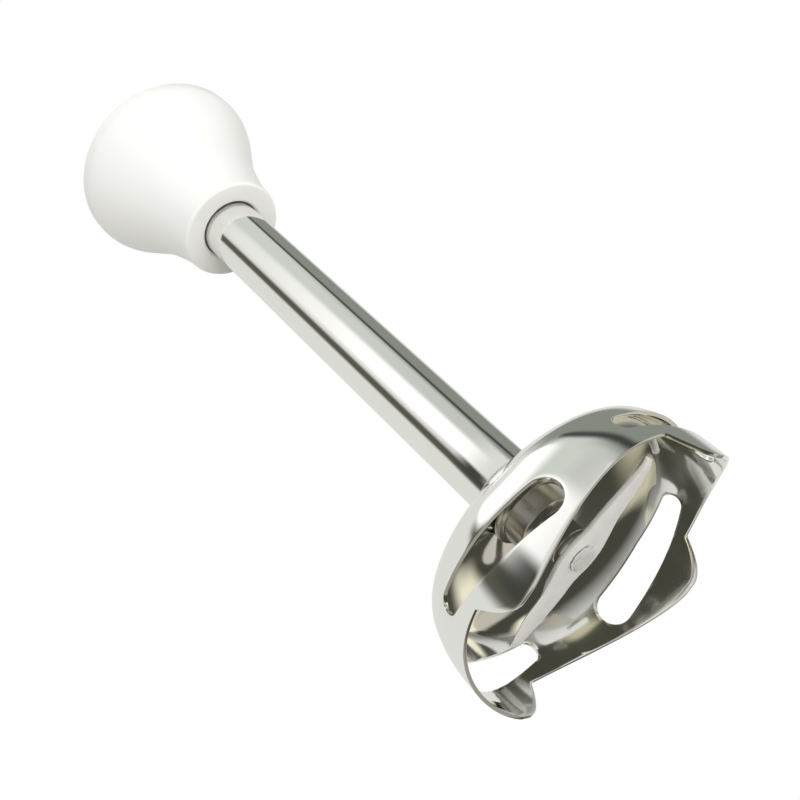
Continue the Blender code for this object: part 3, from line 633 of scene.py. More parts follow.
@dataclass
class BellGuard:
    """The pressed bell: one sheet with four lobes, four notches and four long slots."""

    wall: float = 0.9 * MM
    knots: tuple[Point, ...] = (
        (37.0, 0.0),
        (37.0, 6.7),
        (36.6, 12.9),
        (35.4, 17.8),
        (33.6, 22.2),
        (30.6, 24.9),
        (24.5, 27.7),
        (15.9, 30.5),
        (10.6, 32.5),
        (9.0, 34.3),
        (9.0, 36.5),
    )
    lobes: int = 4
    notch_depth: float = 8.0 * MM
    lobe_angle: float = radians(70)
    lobe_span: float = radians(5)
    rise_span: float = radians(65)
    fall_span: float = radians(13.5)
    fall_sharpness: float = 1.9
    rise_sharpness: float = 1.3
    headings: int = 240  # tried along each stretch of a slot's edge
    # angle in degrees, height and radius in mm of the circles that the slot's edge runs round
    slot_circles: tuple[Triple, ...] = ((45.6, 14.8, 2.6), (69.0, 13.1, 3.9), (94.5, 10.9, 4.5))
    slot_middle: float = radians(70.5)  # of the quarter of the blank
    slotted_height: float = 21.5 * MM  # top of the slotted band
    across: int = 96  # runs along the slot
    upright: int = 20  # runs round its ends
    rows: tuple[float, ...] = (0.0, 0.09, 0.19, 0.31, 0.44, 0.58, 0.72, 0.86, 1.0)
    crown_rows: int = 34
    edge_rounding: float = 0.28 * MM
    outline: Outline = field(init=False)

    def __post_init__(self) -> None:
        """Draws the bell's section."""
        self.outline = Outline([(r * MM, z * MM) for r, z in self.knots], relax=60)

    def rim_height(self, angle: float) -> float:
        """Height of the lower edge.

        Args:
            angle: round the axis.

        Returns:
            0 on a lobe, and up to the notch depth between two.
        """
        pitch = tau / self.lobes
        turn = (angle - self.lobe_angle + self.lobe_span / 2) % pitch
        if turn <= self.lobe_span:
            return 0.0
        if turn <= self.lobe_span + self.rise_span:
            share = (turn - self.lobe_span) / self.rise_span
            return self.notch_depth * sin(pi / 2 * share) ** self.rise_sharpness
        if turn <= pitch - self.fall_span:
            return self.notch_depth
        return self.notch_depth * ((pitch - turn) / self.fall_span) ** self.fall_sharpness

    def slot_arc(self, start: float, stop: float, count: int) -> list[Vector]:
        """One stretch of the slot's edge, as angle and length up the section.

        Args:
            start: heading at which it starts, in degrees.
            stop: heading at which it ends.
            count: runs along it.

        Returns:
            count + 1 points.
        """
        scale = self.knots[0][0] * MM
        found = []
        for i in range(self.headings + 1):
            heading = radians(start + (stop - start) * i / self.headings)
            facing = Vector((cos(heading), sin(heading)))
            hull = [Vector((radians(a) * scale, z * MM)) + facing * r * MM for a, z, r in self.slot_circles]
            found.append(max(hull, key=lambda p: p.dot(facing)))
        return [Vector((p.x / scale, self.outline.length_to(p.y))) for p in resample(found, count)]

    def loops(self) -> tuple[list[Vector], list[Vector]]:
        """The slot's edge and the frame of its quarter of the blank.

        Returns:
            Two closed lists of points, matched one to one.
        """
        corners = (225.0, 315.0, 405.0, 495.0, 585.0)
        counts = (self.across, self.upright, self.across, self.upright)
        slot = []
        for start, stop, count in zip(corners, corners[1:], counts, strict=False):
            slot += self.slot_arc(start, stop, count)[:-1]
        low, high = self.slot_middle - pi / self.lobes, self.slot_middle + pi / self.lobes
        top = self.outline.length_to(self.slotted_height)
        edge = []
        for i in range(self.across):
            angle = low + (high - low) * i / self.across
            edge.append(Vector((angle, self.outline.length_to(self.rim_height(angle)))))
        foot = self.outline.length_to(self.rim_height(low))
        edge += [Vector((high, foot + (top - foot) * i / self.upright)) for i in range(self.upright)]
        edge += [Vector((high + (low - high) * i / self.across, top)) for i in range(self.across)]
        edge += [Vector((low, top + (foot - top) * i / self.upright)) for i in range(self.upright)]
        return slot, edge

    def blank(self) -> bmesh.types.BMesh:
        """The flat blank of one quarter, in angle and length up the section.

        Returns:
            The sheet round one slot, with the crown's strip above it.
        """
        slot, edge = self.loops()
        count = len(slot)
        shape = bmesh.new()
        number = shape.verts.layers.int.new("number")
        bmesh.ops.create_circle(shape, cap_ends=False, segments=count, radius=1.0)
        shape.verts.ensure_lookup_table()
        ring = list(shape.verts)
        for i, vert in enumerate(ring):
            vert[number] = i
            vert.co = (*slot[i], 0.0)
        edges = list(shape.edges)
        for share in self.rows[1:]:
            made = bmesh.ops.extrude_edge_only(shape, edges=edges)["geom"]
            edges = [e for e in made if isinstance(e, bmesh.types.BMEdge)]
            ring = [v for v in made if isinstance(v, bmesh.types.BMVert)]
            for vert in ring:
                i = vert[number]
                vert.co = (*slot[i].lerp(edge[i], share), 0.0)
        first = self.across + self.upright
        top = range(first, first + self.across + 1)
        strip = [e for e in edges if all(v[number] in top for v in e.verts)]
        start = self.outline.length_to(self.slotted_height)
        for row in range(1, self.crown_rows + 1):
            made = bmesh.ops.extrude_edge_only(shape, edges=strip)["geom"]
            strip = [e for e in made if isinstance(e, bmesh.types.BMEdge)]
            for vert in made:
                if isinstance(vert, bmesh.types.BMVert):
                    vert.co.y = start + (self.outline.length - start) * row / self.crown_rows
        return shape

    def build(self) -> bpy.types.Object:
        """Rolls the blank round the axis, gives it its wall and rounds its edges.

        Returns:
            The piece.
        """
        shape = self.blank()
        for vert in shape.verts:
            angle, length = vert.co.x, vert.co.y
            place = self.outline.at(length)
            vert.co = (place.x * cos(angle), place.x * sin(angle), place.y)
        quarter = list(shape.verts) + list(shape.edges) + list(shape.faces)
        for i in range(1, self.lobes):
            copy = bmesh.ops.duplicate(shape, geom=quarter)["geom"]
            verts = [v for v in copy if isinstance(v, bmesh.types.BMVert)]
            turn = Matrix.Rotation(tau * i / self.lobes, 3, "Z")
            bmesh.ops.rotate(shape, verts=verts, cent=(0, 0, 0), matrix=turn)
        bmesh.ops.remove_doubles(shape, verts=shape.verts, dist=20 * WELD)
        bmesh.ops.recalc_face_normals(shape, faces=shape.faces)
        outer = max(shape.faces, key=lambda f: hypot(*f.calc_center_median().xy))
        middle = outer.calc_center_median()
        if outer.normal.x * middle.x + outer.normal.y * middle.y < 0:
            bmesh.ops.reverse_faces(shape, faces=shape.faces)
        piece = add_piece("bell_guard_sheet", shape, POLISHED, Body.FOOT, ["bell_guard"])
        wall = piece.modifiers.new("wall", "SOLIDIFY")
        wall.thickness = self.wall
        wall.offset = -1.0
        wall.use_even_offset = True
        rounding = piece.modifiers.new("rounding", "BEVEL")
        rounding.width = self.edge_rounding
        rounding.segments = 3
        rounding.limit_method = "ANGLE"
        rounding.angle_limit = radians(50)
        rounding.use_clamp_overlap = True
        return piece


# ---------------------------------------------------------------- tube


@dataclass
class ShaftTube:
    """The drawn steel tube between bell and coupler."""

    radius: float = 9.0 * MM
    bore: float = 8.3 * MM
    end_rounding: float = 0.25 * MM
    rings: int = 12
    steps: int = 160

    def build(self) -> bpy.types.Object:
        """Turns the tube, with short rings at its ends and rounded edges.

        Returns:
            The piece.
        """
        low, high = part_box("shaft_tube")
        heights = [low.z + (high.z - low.z) * i / self.rings for i in range(self.rings + 1)]
        profile = [(self.radius, z) for z in reversed(heights)] + [(self.bore, z) for z in heights]
        shape = lathe(profile, self.steps)
        soften(shape, self.end_rounding, 3)
        return add_piece("shaft_tube_drawn", shape, POLISHED, Body.FOOT, ["shaft_tube"])


# ---------------------------------------------------------------- coupler


@dataclass
class CouplerShell:
    """The white flared shell that takes the motor unit."""

    height: float = 44.5 * MM
    collar: float = 15.3 * MM
    flare: float = 13.6 * MM
    widest: float = 40.0 * MM
    wall: float = 2.4 * MM
    rim_rounding: float = 2.2 * MM
    collar_rounding: float = 1.0 * MM
    bore: float = 9.3 * MM
    lead_in: float = 0.7 * MM
    sleeve: float = 2.0 * MM
    sleeve_height: float = 12.2 * MM
    floor: float = 3.5 * MM
    bore_rounding: float = 0.3 * MM
    rows: int = 40
    steps: int = 192
    shares: tuple[Point, ...] = (
        (0.0, 0.02),
        (0.19, 0.09),
        (0.44, 0.286),
        (0.6, 0.467),
        (0.755, 0.69),
        (0.9, 0.905),
        (0.97, 0.985),
        (1.0, 1.0),
    )
    line: Outline = field(init=False)

    def __post_init__(self) -> None:
        """Draws the flare."""
        self.line = Outline([(share, height) for height, share in self.shares], steps=12, relax=10)

    def radius(self, height: float) -> float:
        """Outer radius at a height above the collar."""
        share = min(max(height / self.widest, 0.0), 1.0)
        return self.collar + self.flare * self.line.at(self.line.length_to(share)).x

    def corner(self, r: float, z: float, size: float, start: float, steps: int = 8) -> list[Point]:
        """A rounded corner, turning clockwise through a right angle.

        Args:
            r: radius of its centre.
            z: height of its centre.
            size: of the rounding.
            start: heading at which it starts.
            steps: along it.

        Returns:
            Its points.
        """
        turns = [start - pi / 2 * i / steps for i in range(steps + 1)]
        return [(r + size * cos(a), z + size * sin(a)) for a in turns]

    def build(self) -> bpy.types.Object:
        """Turns the shell with its rounded rim, floor and sleeve.

        Returns:
            The piece.
        """
        widest = self.collar + self.flare
        size, lip = self.collar_rounding, self.height - self.rim_rounding
        rim = self.corner(widest - self.rim_rounding, lip, self.rim_rounding, pi / 2)
        heights = [self.widest * (1 - i / self.rows) for i in range(self.rows)]
        outer = [(self.radius(z), z) for z in heights if size * 1.5 < z < lip]
        foot = self.corner(self.radius(size) - size, size, size, 0.0)
        inner = [self.floor + (self.widest - self.floor) * i / self.rows for i in range(self.rows + 1)]
        profile = [
            *rim,
            *outer,
            *foot,
            (self.bore + self.lead_in, 0.0),
            (self.bore, self.lead_in),
            (self.bore, self.sleeve_height),
            (self.bore + self.sleeve, self.sleeve_height),
            (self.bore + self.sleeve, self.floor),
            *[(self.radius(z) - self.wall, z) for z in inner],
            (widest - self.wall, self.height),
        ]
        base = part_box("coupler_shell")[0].z
        shape = lathe([(r, z + base) for r, z in profile], self.steps)
        soften(shape, self.bore_rounding, 3)
        return add_piece("coupler_shell_moulded", shape, WHITE, Body.FOOT, ["coupler_shell"])


# ---------------------------------------------------------------- knife and spindle


@dataclass
class Knife:
    """The two-armed knife: a flat round hub and two arms that lean and taper to their tips."""

    reach: float = 26.9 * MM
    hub: float = 6.9 * MM
    middle: float = 12.26 * MM
    thickness: float = 1.15 * MM
    lean: float = radians(7)
    hook: float = 0.55 * MM  # rise of the very tip
    hook_start: float = 0.93  # share of the reach
    grind_start: float = 8.0 * MM  # where the ground edge begins, and how far it takes to thin out
    grind_run: float = 4.0 * MM
    grind_width: float = 1.4 * MM
    corner: float = 0.2 * MM
    sharp_edge: float = 0.22 * MM  # thickness left at the ground edge
    back_chamfer: float = 0.12 * MM
    edge_rounding: float = 0.1 * MM
    sections: int = 48
    # distance from the axis, then the straight edge and the ground edge, in mm
    widths: tuple[Triple, ...] = (
        (0.0, 6.9, 6.9),
        (2.0, 6.65, 6.85),
        (3.5, 6.15, 6.55),
        (5.0, 5.5, 6.0),
        (6.5, 5.0, 5.45),
        (8.0, 4.8, 4.95),
        (11.0, 4.7, 4.0),
        (14.0, 4.3, 3.8),
        (17.0, 3.7, 3.8),
        (20.0, 3.05, 3.2),
        (23.0, 2.45, 2.25),
        (25.5, 1.9, 1.3),
        (26.9, 1.45, 0.5),
    )

    def width(self, reach: float, ground: bool) -> float:
        """Distance of an edge from the arm's own line.

        Args:
            reach: distance from the axis.
            ground: the ground edge, and not the straight one.

        Returns:
            The distance.
        """
        column = 2 if ground else 1
        far = reach / MM
        for a, b in zip(self.widths, self.widths[1:], strict=False):
            if far <= b[0]:
                share = (far - a[0]) / (b[0] - a[0])
                return (a[column] + (b[column] - a[column]) * share) * MM
        return self.widths[-1][column] * MM

    def section(self, along: float) -> list[Vector]:
        """The knife's section at a distance along an arm.

        Args:
            along: distance from the axis.

        Returns:
            Eight points, from the ground edge's underside round to its top side.
        """
        blade = min(max((along - self.grind_start) / self.grind_run, 0.0), 1.0)
        ground, straight = self.width(along, True), self.width(along, False)
        half = self.thickness / 2
        thin = half - blade * (self.thickness - self.sharp_edge)
        bevel = self.grind_width * blade + self.corner
        flat = [
            (ground, -half),
            (ground, thin),
            (ground - bevel, half),
            (0.0, half),
            (-straight + self.back_chamfer, half),
            (-straight, half - self.back_chamfer),
            (-straight, -half),
            (0.0, -half),
        ]
        tilt = self.lean * min(max((along - self.hub) / (self.reach - self.hub), 0.0), 1.0)
        tip = (along / self.reach - self.hook_start) / (1 - self.hook_start)
        rise = self.hook * max(tip, 0.0) ** 1.5
        return [Vector((along, y * cos(tilt), y * sin(tilt) + z + rise)) for y, z in flat]

    def build(self) -> bpy.types.Object:
        """Lofts both blades outwards from the hub and turns the knife to its rest angle.

        Returns:
            The piece.
        """
        shape = bmesh.new()
        for side in (1, -1):
            self.arm(shape, side)
        bmesh.ops.remove_doubles(shape, verts=shape.verts, dist=20 * WELD)
        bmesh.ops.recalc_face_normals(shape, faces=shape.faces)
        soften(shape, self.edge_rounding, 2, radians(40))
        turn = Matrix.Rotation(KNIFE_TURN, 3, "Z")
        bmesh.ops.rotate(shape, verts=shape.verts, cent=(0, 0, 0), matrix=turn)
        bmesh.ops.translate(shape, verts=shape.verts, vec=(0, 0, self.middle))
        return add_piece("knife_ground", shape, KNIFE, Body.SPINDLE, ["knife"])

    def arm(self, shape: bmesh.types.BMesh, side: int) -> None:
        """Draws one arm out from the middle to its tip.

        Args:
            shape: what it is added to.
            side: 1 for the arm along +X, -1 for the other.
        """
        number = shape.verts.layers.int.get("number") or shape.verts.layers.int.new("number")
        ring = [shape.verts.new(p) for p in self.section(0.0)]
        for i, vert in enumerate(ring):
            vert[number] = i
        edges = [shape.edges.new((a, b)) for a, b in zip(ring, ring[1:] + ring[:1], strict=True)]
        for k in range(1, self.sections + 1):
            section = self.section(self.reach * k / self.sections)
            made = bmesh.ops.extrude_edge_only(shape, edges=edges)["geom"]
            edges = [e for e in made if isinstance(e, bmesh.types.BMEdge)]
            for vert in made:
                if isinstance(vert, bmesh.types.BMVert):
                    vert.co = section[vert[number]]
                    ring[vert[number]] = vert
        shape.faces.new(ring)
        if side < 0:
            new = [v for v in shape.verts if not v.tag]
            bmesh.ops.rotate(shape, verts=new, cent=(0, 0, 0), matrix=Matrix.Rotation(pi, 3, "Z"))
        for vert in shape.verts:
            vert.tag = True


@dataclass
class Spindle:
    """The rod through the knife: riveted tail, journal with two clip grooves, slim head."""

    radius: float = 3.0 * MM
    tail: float = 2.3 * MM
    head: float = 2.5 * MM
    rivet: float = 3.4 * MM
    rivet_height: float = 1.0 * MM
    dome_rise: float = 0.45 * MM
    dome_flat: float = 0.8  # share of the rivet's radius
    dimple: float = 0.05 * MM  # at the middle of the rivet
    shoulder: float = 13.16 * MM
    groove_room: float = 0.15 * MM  # below and above a clip
    groove_depth: float = 0.7 * MM
    head_room: float = 0.2 * MM  # from the upper clip to the head
    rounding: float = 0.12 * MM
    dome_steps: int = 8
    steps: int = 96

    def build(self) -> bpy.types.Object:
        """Turns the spindle, with a domed rivet head.

        Returns:
            The piece.
        """
        low = self.radius - self.groove_depth
        bottom, top = (corner.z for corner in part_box("drive_spindle"))
        clips = [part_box(name) for name in ("upper_circlip", "lower_circlip")]
        head_start = clips[0][1].z + self.head_room
        rivet_top = bottom + self.rivet_height
        dome = []
        for i in range(self.dome_steps + 1):
            turn = pi / 2 * i / self.dome_steps
            r = self.rivet * (self.dome_flat + (1 - self.dome_flat) * cos(turn))
            dome.append((r, bottom + self.dome_rise * (1 - sin(turn))))
        profile = [(0.0, top), (self.head, top), (self.head, head_start), (self.radius, head_start)]
        for clip in clips:
            under, over = clip[0].z - self.groove_room, clip[1].z + self.groove_room
            profile += [(self.radius, over), (low, over), (low, under), (self.radius, under)]
        profile += [
            (self.radius, self.shoulder),
            (self.tail, self.shoulder),
            (self.tail, rivet_top),
            (self.rivet, rivet_top),
            *dome,
            (0.45 * self.rivet, bottom + 0.4 * self.dimple),
            (0.0, bottom + self.dimple),
        ]
        shape = lathe(profile, self.steps, closed=False)
        soften(shape, self.rounding, 2, radians(50))
        return add_piece("spindle_turned", shape, RIVETED, Body.SPINDLE, ["drive_spindle"])


@dataclass
class TurnedRing:
    """A plain turned ring: a spacer, a washer or a seat."""

    name: str
    node: str
    finish: Finish
    body: Body
    rounding: float = 0.2 * MM
    bore: float = 3.3 * MM
    steps: int = 96
    grooves: tuple[float, ...] = ()  # shares of the height
    groove_half: float = 0.25 * MM
    groove_depth: float = 0.2 * MM

    def build(self) -> bpy.types.Object:
        """Turns the ring in the room of the node that it stands for.

        Returns:
            The piece.
        """
        low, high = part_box(self.node)
        radius = (high.x - low.x) / 2
        profile = [(radius, high.z)]
        for share in self.grooves:
            z = low.z + (high.z - low.z) * share
            top, bottom = z + self.groove_half, z - self.groove_half
            profile += [(radius, top), (radius - self.groove_depth, z), (radius, bottom)]
        profile += [(radius, low.z), (self.bore, low.z), (self.bore, high.z)]
        shape = lathe(profile, self.steps)
        soften(shape, self.rounding, 3, radians(60))
        return add_piece(self.name, shape, self.finish, self.body, [self.node])


@dataclass
class BearingHousing:
    """The flanged carrier of the lower bearing, under the crown."""

    spigot: float = 7.8 * MM
    groove: float = 6.6 * MM
    groove_room: float = 0.3 * MM  # below and above the rubber ring
    flange: float = 9.8 * MM
    flange_thickness: float = 1.6 * MM
    seat: float = 0.3 * MM  # to the gasket and round the seal
    boss: float = 8.4 * MM
    chamfer: float = 1.2 * MM
    pocket: float = 6.3 * MM
    bore: float = 5.3 * MM
    rounding: float = 0.25 * MM
    steps: int = 128

    def build(self) -> bpy.types.Object:
        """Turns the housing.

        Returns:
            The piece.
        """
        bottom, top = (corner.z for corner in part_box("bearing_housing"))
        ring_low, ring_high = (corner.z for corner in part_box("housing_o_ring"))
        groove_low, groove_high = ring_low - self.groove_room, ring_high + self.groove_room
        flange_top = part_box("housing_gasket")[0].z - self.seat
        flange_bottom = flange_top - self.flange_thickness
        pocket_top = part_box("shaft_seal")[1].z + self.seat
        profile = [
            (self.spigot, top),
            (self.spigot, groove_high),
            (self.groove, groove_high),
            (self.groove, groove_low),
            (self.spigot, groove_low),
            (self.spigot, flange_top),
            (self.flange, flange_top),
            (self.flange, flange_bottom),
            (self.boss, flange_bottom),
            (self.boss, bottom + self.chamfer),
            (self.boss - self.chamfer, bottom),
            (self.pocket, bottom),
            (self.pocket, pocket_top),
            (self.bore, pocket_top),
            (self.bore, top),
        ]
        shape = lathe(profile, self.steps)
        soften(shape, self.rounding, 3, radians(40))
        return add_piece("bearing_housing_turned", shape, GROUND, Body.FOOT, ["bearing_housing"])


@dataclass
class FramePiece:
    """A piece whose shape comes from the frame: welded, its edges rounded, and dressed."""

    node: str
    finish: Finish
    body: Body
    rounding: float = 0.12 * MM

    def build(self) -> bpy.types.Object:
        """Copies the node's mesh, welds it, and rounds its edges.

        Returns:
            The piece.
        """
        shape = bmesh.new()
        shape.from_mesh(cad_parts[self.node].data)
        bmesh.ops.remove_doubles(shape, verts=shape.verts, dist=WELD)
        bmesh.ops.dissolve_limit(
            shape,
            angle_limit=radians(1.0),
            verts=shape.verts,
            edges=shape.edges,
            use_dissolve_boundaries=False,
        )
        soften(shape, self.rounding, 2)
        return add_piece(f"{self.node}_finished", shape, self.finish, self.body, [self.node])


# ---------------------------------------------------------------- studio


@dataclass(frozen=True)
class Panel:
    """A soft-edged light or dark stretch of the studio dome. Angles are in degrees."""

    azimuth: float
    elevation: float
    half_width: float
    half_height: float
    soft: float
    colour: Colour
    amount: float = 1.0


@dataclass(frozen=True)
class Lamp:
    """A round soft box. Place and size in metres, power in watts."""

    name: str
    place: Triple
    size: float
    power: float


OLIVE = (0.060, 0.060, 0.045)
GREEN_GREY = (0.25, 0.27, 0.235)
DIRECTION = ("Azimuth", "Elevation")
PANEL_SOCKETS = ("Centre Azimuth", "Centre Elevation", "Half Width", "Half Height", "Soft")


@dataclass
class Studio:
    """Camera, dome, lamps and floor."""

    lens: float = 47.16
    sensor: float = 36.0
    place: Triple = (-0.002336, -0.219938, -0.077748)
    right: Triple = (0.689498, 0.415649, -0.593152)
    down: Triple = (-0.724288, 0.395400, -0.564859)
    ahead: Triple = (-0.000251, 0.819081, 0.573677)
    dome: Colour = (0.74, 0.74, 0.72)
    panels: tuple[Panel, ...] = (
        # the dark lower half, and the light that comes in beside it
        Panel(0, -60, 360, 48, 12, OLIVE),
        Panel(-100, -38, 26, 22, 14, (0.56, 0.53, 0.39)),
        Panel(72, -28, 14, 14, 8, (0.98, 0.94, 0.76)),
        Panel(153, -38, 28, 17, 7, (0.54, 0.51, 0.45)),
        Panel(-158, -50, 20, 14, 8, (0.34, 0.32, 0.28)),
        # the upper half
        Panel(105, 42, 40, 30, 8, GREEN_GREY),
        Panel(52, 33, 20, 8, 8, (0.56, 0.58, 0.54)),
        Panel(50, 52, 34, 14, 10, (0.62, 0.66, 0.61)),
        Panel(84, 36, 5, 24, 4, (0.05, 0.055, 0.05)),
        Panel(-51, 36, 12, 26, 6, (0.10, 0.10, 0.075)),
        Panel(0, 33, 26, 10, 9, (1.15, 1.15, 1.15)),
        Panel(-38, 20, 15, 8, 6, (0.055, 0.055, 0.05)),
        Panel(10, 66, 60, 8, 6, (1.3, 1.3, 1.3)),
    )
    background: Colour = (1.0, 1.0, 1.0)
    lamps: tuple[Lamp, ...] = (
        Lamp("key", (0.35, -0.75, 0.10), 0.7, 1.7),
        Lamp("fill", (-0.65, -0.55, 0.35), 0.8, 1.3),
        Lamp("side", (0.80, -0.15, -0.05), 0.7, 1.0),
        Lamp("under", (0.15, -0.35, -0.70), 0.7, 6.6),
        Lamp("back", (0.2, 0.8, 0.6), 0.8, 1.2),
        Lamp("top", (0.0, 0.0, 1.1), 0.9, 1.2),
    )
    lit_point: Triple = (0.0, 0.0, 0.12)
    floor_size: float = 4.0
    floor_drop: float = 0.4 * MM

    def build(self) -> None:
        """Builds the whole studio."""
        scene = bpy.context.scene
        scene.view_settings.view_transform = "Standard"
        self.add_camera()
        self.add_dome()
        self.add_lamps()
        self.add_floor()

    def add_camera(self) -> None:
        """Stands the camera under the foot, looking up along it."""
        data = bpy.data.cameras.new("camera")
        data.lens = self.lens
        data.sensor_width = self.sensor
        data.clip_start = 0.005
        data.clip_end = 50.0
        camera = bpy.data.objects.new("camera", data)
        axes = (Vector(self.right), -Vector(self.down), -Vector(self.ahead))
        turn = Matrix(axes).transposed().to_4x4()
        camera.matrix_world = Matrix.Translation(self.place) @ turn
        bpy.context.scene.collection.objects.link(camera)
        bpy.context.scene.camera = camera

    def panel_group(self) -> bpy.types.NodeTree:
        """Builds the group that masks one panel.

        Returns:
            The group, with output Mask.
        """
        graph, given, made = new_group(
            "dome_panel",
            [(name, "NodeSocketFloat", 0.0) for name in (*DIRECTION, *PANEL_SOCKETS)],
            (("Mask", "NodeSocketFloat"),),
        )
        masks = []
        for name, centre, half in (
            ("Azimuth", "Centre Azimuth", "Half Width"),
            ("Elevation", "Centre Elevation", "Half Height"),
        ):
            away = graph.calc("SUBTRACT", given.outputs[name], given.outputs[centre])
            if name == "Azimuth":
                away = graph.calc("WRAP", away, 180.0, -180.0)
            away = graph.calc("ABSOLUTE", away)
            fade = graph.add(
                "ShaderNodeMapRange", {"To Min": 1.0, "To Max": 0.0}, interpolation_type="SMOOTHSTEP"
            )
            graph.link(away, fade.inputs["Value"])
            for operation, end in (("SUBTRACT", "From Min"), ("ADD", "From Max")):
                edge = graph.calc(operation, given.outputs[half], given.outputs["Soft"])
                graph.link(edge, fade.inputs[end])
            masks.append(fade.outputs[0])
        graph.link(graph.calc("MULTIPLY", *masks), made.inputs["Mask"])
        return graph.tree

    def add_dome(self) -> None:
        """Paints the dome that the steel reflects, and a white backdrop for the camera alone."""
        group = self.panel_group()
        world = bpy.data.worlds.new("studio_dome")
        world.use_nodes = True
        bpy.context.scene.world = world
        graph = Graph(world.node_tree)
        parts = graph.add("ShaderNodeSeparateXYZ")
        graph.link(graph.add("ShaderNodeTexCoord").outputs["Generated"], parts.inputs[0])
        x, y, z = parts.outputs[0], parts.outputs[1], parts.outputs[2]
        turn = graph.calc("ARCTAN2", x, graph.calc("MULTIPLY", y, -1.0))
        azimuth = graph.calc("DEGREES", turn)
        elevation = graph.calc("DEGREES", graph.calc("ARCSINE", z))
        colour = graph.add("ShaderNodeRGB")
        colour.outputs[0].default_value = (*self.dome, 1.0)
        last = colour.outputs[0]
        for panel in self.panels:
            mask = graph.add("ShaderNodeGroup", node_tree=group)
            graph.link(azimuth, mask.inputs["Azimuth"])
            graph.link(elevation, mask.inputs["Elevation"])
            measures = (panel.azimuth, panel.elevation, panel.half_width, panel.half_height, panel.soft)
            for name, value in zip(PANEL_SOCKETS, measures, strict=True):
                mask.inputs[name].default_value = value
            mix = graph.add("ShaderNodeMix", data_type="RGBA", clamp_factor=True)
            graph.link(graph.calc("MULTIPLY", mask.outputs[0], panel.amount), mix.inputs["Factor"])
            graph.link(last, mix.inputs["A"])
            mix.inputs["B"].default_value = (*panel.colour, 1.0)
            last = mix.outputs["Result"]
        reflected = graph.add("ShaderNodeBackground", {"Strength": 1.0})
        graph.link(last, reflected.inputs["Color"])
        seen = graph.add("ShaderNodeBackground", {"Color": (*self.background, 1.0), "Strength": 1.0})
        pick = graph.add("ShaderNodeMixShader")
        graph.link(graph.add("ShaderNodeLightPath").outputs["Is Camera Ray"], pick.inputs[0])
        graph.link(reflected.outputs[0], pick.inputs[1])
        graph.link(seen.outputs[0], pick.inputs[2])
        out = graph.add("ShaderNodeOutputWorld")
        graph.link(pick.outputs[0], out.inputs["Surface"])

    def add_lamps(self) -> None:
        """Hangs the soft boxes that light the plastic; the steel sees the dome alone."""
        for soft_box in self.lamps:
            place = Vector(soft_box.place)
            data = bpy.data.lights.new(soft_box.name, "AREA")
            data.shape = "DISK"
            data.size = soft_box.size
            data.energy = soft_box.power
            lamp = bpy.data.objects.new(soft_box.name, data)
            lamp.location = place
            lamp.rotation_mode = "QUATERNION"
            lamp.rotation_quaternion = (Vector(self.lit_point) - place).to_track_quat("-Z", "Y")
            lamp.visible_camera = False
            lamp.visible_glossy = False
            bpy.context.scene.collection.objects.link(lamp)

    def add_floor(self) -> None:
        """Lays a pale floor that is seen from above and lets the light from below through."""
        shape = bmesh.new()
        bmesh.ops.create_grid(shape, x_segments=1, y_segments=1, size=self.floor_size / 2)
        bmesh.ops.translate(shape, verts=shape.verts, vec=(0, 0, -self.floor_drop))
        mesh = bpy.data.meshes.new("floor")
        shape.to_mesh(mesh)
        shape.free()
        made = bpy.data.materials.new("pale_floor")
        made.use_nodes = True
        graph = Graph(made.node_tree)
        noise = graph.add("ShaderNodeTexNoise", {"Scale": 30.0, "Detail": 3.0})
        graph.link(graph.add("ShaderNodeTexCoord").outputs["Object"], noise.inputs["Vector"])
        shade = graph.add("ShaderNodeMapRange", {"To Min": 0.86, "To Max": 0.90})
        graph.link(noise.outputs["Fac"], shade.inputs["Value"])
        plain = graph.add("ShaderNodeBsdfPrincipled", {"Roughness": 0.8})
        graph.link(shade.outputs[0], plain.inputs["Base Color"])
        clear = graph.add("ShaderNodeBsdfTransparent")
        pick = graph.add("ShaderNodeMixShader")
        graph.link(graph.add("ShaderNodeNewGeometry").outputs["Backfacing"], pick.inputs[0])
        graph.link(plain.outputs[0], pick.inputs[1])
        graph.link(clear.outputs[0], pick.inputs[2])
        out = graph.add("ShaderNodeOutputMaterial")
        graph.link(pick.outputs[0], out.inputs["Surface"])
        mesh.materials.append(made)
        floor = bpy.data.objects.new("floor", mesh)
        bpy.context.scene.collection.objects.link(floor)
        floor.visible_diffuse = False
        floor.visible_glossy = False
        floor.visible_transmission = False
        floor.visible_shadow = False


# ---------------------------------------------------------------- the whole foot


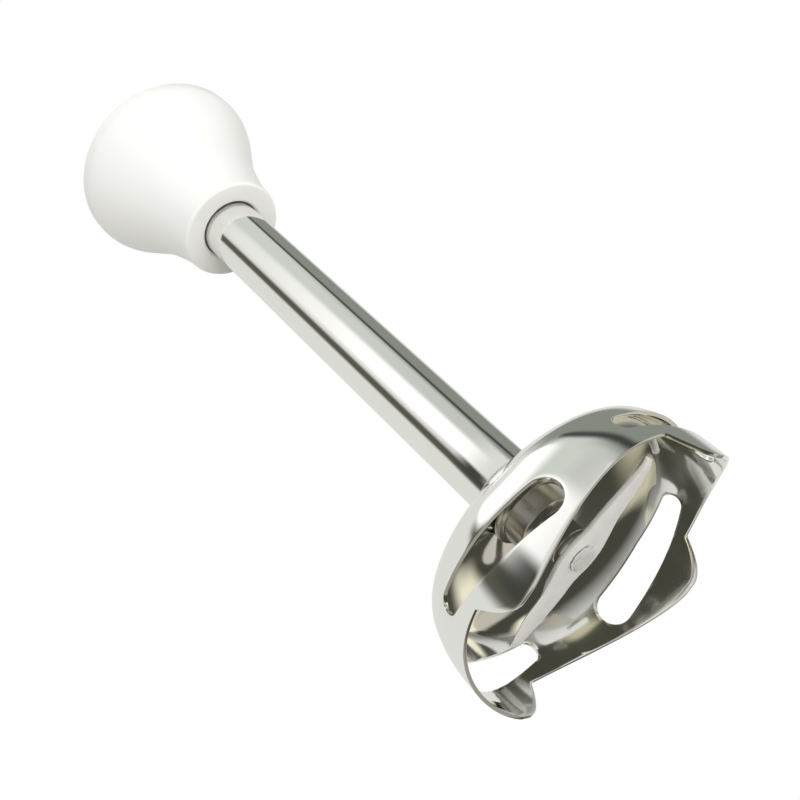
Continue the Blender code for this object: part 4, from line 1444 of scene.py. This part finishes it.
@dataclass
class BlenderFoot:
    """The whole foot, piece by piece."""

    carried: tuple[tuple[str, Finish, Body], ...] = (
        ("housing_gasket", RUBBER, Body.FOOT),
        ("housing_o_ring", RUBBER, Body.FOOT),
        ("lower_bush", BRONZE, Body.FOOT),
        ("felt_washer", FELT, Body.FOOT),
        ("shaft_seal", RUBBER, Body.FOOT),
        ("shaft_guide", GREY, Body.FOOT),
        ("coupler_core", GREY, Body.FOOT),
        ("coupler_seal_ring", RUBBER, Body.FOOT),
        ("tube_stop_ring", GREY, Body.FOOT),
        ("bearing_carrier", GREY, Body.FOOT),
        ("upper_bush", BRONZE, Body.FOOT),
        ("coupler_screw_1", SPRING, Body.FOOT),
        ("coupler_screw_2", SPRING, Body.FOOT),
        ("coupler_screw_3", SPRING, Body.FOOT),
        ("lower_circlip", SPRING, Body.SPINDLE),
        ("upper_circlip", SPRING, Body.SPINDLE),
        ("drive_dog", GREY, Body.SPINDLE),
        ("dog_pin", SPRING, Body.SPINDLE),
    )
    rings: tuple[TurnedRing, ...] = (
        TurnedRing("knife_spacer_turned", "knife_spacer", GROUND, Body.SPINDLE, grooves=(0.3,)),
        TurnedRing("lower_washer_turned", "lower_thrust_washer", GROUND, Body.SPINDLE, rounding=0.1 * MM),
        TurnedRing("upper_washer_turned", "upper_thrust_washer", GROUND, Body.SPINDLE, rounding=0.1 * MM),
    )

    def steps(self) -> list[Callable[[], bpy.types.Object]]:
        """The making of each piece, in order.

        Returns:
            One call for each.
        """
        shaped = (BellGuard(), ShaftTube(), CouplerShell(), Knife(), Spindle(), BearingHousing())
        made = [part.build for part in shaped]
        made += [ring.build for ring in self.rings]
        made += [FramePiece(node, finish, body).build for node, finish, body in self.carried]
        return made

    def build(self) -> None:
        """Makes every piece."""
        for step in self.steps():
            step()


def main() -> None:
    """Builds the finishes, the foot and the studio."""
    logging.basicConfig(level=logging.INFO, format="%(message)s")
    build_surface_group()
    build_rings_group()
    BlenderFoot().build()
    Studio().build()


if __name__ == "__main__":
    main()
